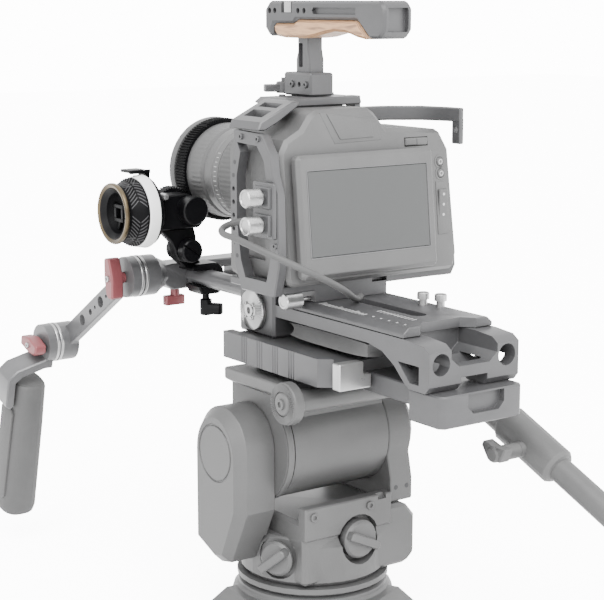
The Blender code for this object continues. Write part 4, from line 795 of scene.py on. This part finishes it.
class RIG_OT_handgrip(bpy.types.Operator):
    """Softens the side arm and handgrip and adds the joint rings, grip panel, screws and a lever"""

    bl_idname = "rig.handgrip"
    bl_label = "Handgrip"

    def execute(self, context):
        rig = context.scene.rig_dressing
        for node in ("front_rod_bracket", "arm_link", "arm_lever_upper", "arm_lever_lower", "grip_bracket"):
            soften(node, rig.edge)
        soften("hand_grip", rig.cast_edge)
        shoulder, elbow = (0, *ARM_PIVOT), (0, *ELBOW[1:])
        bands = (
            ("bracket_ring", RIG, shoulder, -78.4),
            ("arm_ring", "arm", shoulder, -82.4),
            ("elbow_arm_ring", "arm", elbow, -97.6),
            ("elbow_grip_ring", "grip", elbow, -101.4),
        )
        for name, body, centre, low in bands:
            band = [(16.0, low), (17.1, low), (17.3, low + 0.4), (17.3, low + 1.8), (17.1, low + 2.2),
                    (16.0, low + 2.2)]
            piece(name, spun(band, "x", centre, rig.steps, ring=True), "satin_steel", body)
        outline = [(-11, -62), (-8, -58), (7, -58), (10, -62), (10, -146), (7, -150), (-8, -150),
                   (-11, -146)]
        panel = prism(outline, "x", -38.8, -36.5, 0.5)
        lean = Matrix.Rotation(math.radians(GRIP_LEAN_DEG), 4, "X")
        panel.transform(Matrix.Translation(at(*ELBOW)) @ lean)
        piece("grip_panel", panel, "grip_rubber", "grip")
        screws("upper_lever_screw", "arm_lever", [((-105.2, *ARM_PIVOT), LEFT, 2.6)])
        screws("lower_lever_screw", "grip_lever", [((-122.2, *ELBOW[1:]), LEFT, 2.4)])
        stem = spun([(0, 252.7), (4, 252.7), (4, 246), (0, 246)], "z", (-42, 141, 0), PIN_STEPS)
        bar = block((-52, 137.5, 238), (-34, 144.5, 246.5), 1.2)
        piece("bracket_lever", merge([stem, bar]), "red_lever", RIG)
        return {"FINISHED"}


def smooth_route(points, per_span):
    """Points along a Catmull-Rom curve through the route's own points."""
    ends = [points[0] * 2 - points[1], *points, points[-1] * 2 - points[-2]]
    route = []
    for a, b, c, d in zip(ends, ends[1:], ends[2:], ends[3:]):
        for k in range(per_span):
            t = k / per_span
            route.append(0.5 * (2 * b + (c - a) * t + (2 * a - 5 * b + 4 * c - d) * t * t
                                + (3 * b - a - 3 * c + d) * t ** 3))
    return [*route, points[-1]]


class RIG_OT_cable(bpy.types.Operator):
    """Lays the signal cable from its clamp to the sliding plate"""

    bl_idname = "rig.cable"
    bl_label = "Cable"

    def execute(self, context):
        route = smooth_route([at(*point) for point in CABLE_ROUTE], 6)
        curve = bpy.data.curves.new("signal_cable_form", "CURVE")
        curve.dimensions = "3D"
        curve.bevel_depth = CABLE_RADIUS * MM
        curve.bevel_resolution = 5
        curve.use_fill_caps = True
        line = curve.splines.new("POLY")
        line.points.add(len(route) - 1)
        for point, place in zip(line.points, route):
            point.co = (*place, 1.0)
        line.use_smooth = True
        curve.materials.append(FINISH["grip_rubber"])
        cable = bpy.data.objects.new("signal_cable_form", curve)
        context.scene.collection.objects.link(cable)
        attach(cable, RIG)
        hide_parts("signal_cable")
        heading = (route[-1] - route[-2]).normalized()
        heading = Vector((heading.x, heading.y, 0)).normalized()
        tip = [(0, 0), (2.6, 0), (2.7, 0.6), (2.7, 6.0), (2.2, 11.0), (1.3, 13.0), (0, 13.6)]
        end = spun(tip, heading, CABLE_ROUTE[-1], PIN_STEPS)
        plug = piece("signal_cable_plug", end, "grip_rubber", RIG)
        return {"FINISHED"}


class RIG_OT_stage(bpy.types.Operator):
    """Sets the white floor and backdrop, soft light and camera"""

    bl_idname = "rig.stage"
    bl_label = "Stage"

    def execute(self, context):
        scene = context.scene
        self.lay_floor(scene)
        self.light_world(scene)
        self.hang_lamps(scene)
        self.place_camera(scene)
        return {"FINISHED"}

    def lay_floor(self, scene):
        floor = bpy.data.meshes.new("floor")
        bm = bmesh.new()
        bmesh.ops.create_grid(bm, x_segments=1, y_segments=1, size=scene.rig_stage.floor_size / 2)
        bm.to_mesh(floor)
        bm.free()
        ground = bpy.data.objects.new("floor", floor)
        scene.collection.objects.link(ground)
        floor.materials.append(self.floor_paint(scene.rig_stage.floor_lift))

    def floor_paint(self, lift):
        """White paint that the camera alone sees lifted, to meet the backdrop without lighting the rig."""
        made = surface("pale_studio_floor", "#f8f8f8", "#f6f6f6", 0.9, 0.0, 60, 0.0)
        tree = made.node_tree
        shader = tree.nodes["Principled BSDF"]
        shader.inputs["Emission Color"].default_value = WHITE
        tree.links.new(in_view(tree, 0.0, lift), shader.inputs["Emission Strength"])
        return made

    def light_world(self, scene):
        """Even light from all round, in front of a brighter backdrop."""
        world = bpy.data.worlds.new("studio")
        scene.world = world
        world.use_nodes = True
        tree = world.node_tree
        background = tree.nodes["Background"]
        background.inputs["Color"].default_value = WHITE
        strength = in_view(tree, scene.rig_stage.ambient, scene.rig_stage.backdrop)
        tree.links.new(strength, background.inputs["Strength"])

    def hang_lamps(self, scene):
        sun = bpy.data.lights.new("key", "SUN")
        sun.energy = scene.rig_stage.key_power
        sun.angle = math.radians(KEY_SPREAD_DEG)
        self.aim(scene, bpy.data.objects.new("key", sun), KEY_PLACE)
        fill = bpy.data.lights.new("fill", "AREA")
        fill.energy = scene.rig_stage.fill_power
        fill.size = FILL_SIZE
        self.aim(scene, bpy.data.objects.new("fill", fill), FILL_PLACE)

    def aim(self, scene, lamp, place):
        """Puts a lamp in its place, turned to the rig's middle."""
        lamp.location = place
        lamp.rotation_euler = (Vector(LIT_POINT) - Vector(place)).to_track_quat("-Z", "Y").to_euler()
        scene.collection.objects.link(lamp)

    def place_camera(self, scene):
        lens = bpy.data.cameras.new("photo_view")
        lens.sensor_width = SENSOR_WIDTH
        lens.lens = SENSOR_WIDTH * FOCAL_PIXELS / FRAME_PIXELS
        view = bpy.data.objects.new("photo_view", lens)
        heading = math.radians(CAMERA_HEADING_DEG)
        pitch = math.radians(CAMERA_PITCH_DEG)
        level = math.cos(pitch)
        look = Vector((math.sin(heading) * level, math.cos(heading) * level, -math.sin(pitch)))
        view.location = CAMERA_PLACE
        view.rotation_euler = look.to_track_quat("-Z", "Y").to_euler()
        scene.collection.objects.link(view)
        scene.camera = view


OPERATORS = (
    RIG_OT_stage, RIG_OT_cable, RIG_OT_head, RIG_OT_support, RIG_OT_camera, RIG_OT_lens, RIG_OT_cage,
    RIG_OT_follow_focus, RIG_OT_handgrip,
)


class RIG_PT_panel(bpy.types.Panel):
    """Sidebar panel with the rig's settings and one button for each group of pieces"""

    bl_label = "Camera rig"
    bl_idname = "RIG_PT_panel"
    bl_space_type = "VIEW_3D"
    bl_region_type = "UI"
    bl_category = "Rig"

    def draw(self, context):
        rig = context.scene.rig_dressing
        for name in ("edge", "cast_edge", "steps"):
            self.layout.prop(rig, name)
        for name in ("floor_size", "key_power", "ambient", "backdrop", "floor_lift", "fill_power"):
            self.layout.prop(context.scene.rig_stage, name)
        for operator in OPERATORS:
            self.layout.operator(operator.bl_idname)


CLASSES = (RigSettings, StageSettings, *OPERATORS, RIG_PT_panel)


def register():
    for made in CLASSES:
        bpy.utils.register_class(made)
    bpy.types.Scene.rig_dressing = PointerProperty(type=RigSettings)
    bpy.types.Scene.rig_stage = PointerProperty(type=StageSettings)


def unregister():
    del bpy.types.Scene.rig_stage
    del bpy.types.Scene.rig_dressing
    for made in reversed(CLASSES):
        bpy.utils.unregister_class(made)


def main():
    register()
    FINISH.update(make_finishes())
    bpy.ops.rig.stage()
    bpy.ops.rig.cable()
    bpy.ops.rig.head()
    bpy.ops.rig.support()
    bpy.ops.rig.camera()
    bpy.ops.rig.lens()
    bpy.ops.rig.cage()
    bpy.ops.rig.follow_focus()
    bpy.ops.rig.handgrip()


if __name__ == "__main__":
    main()
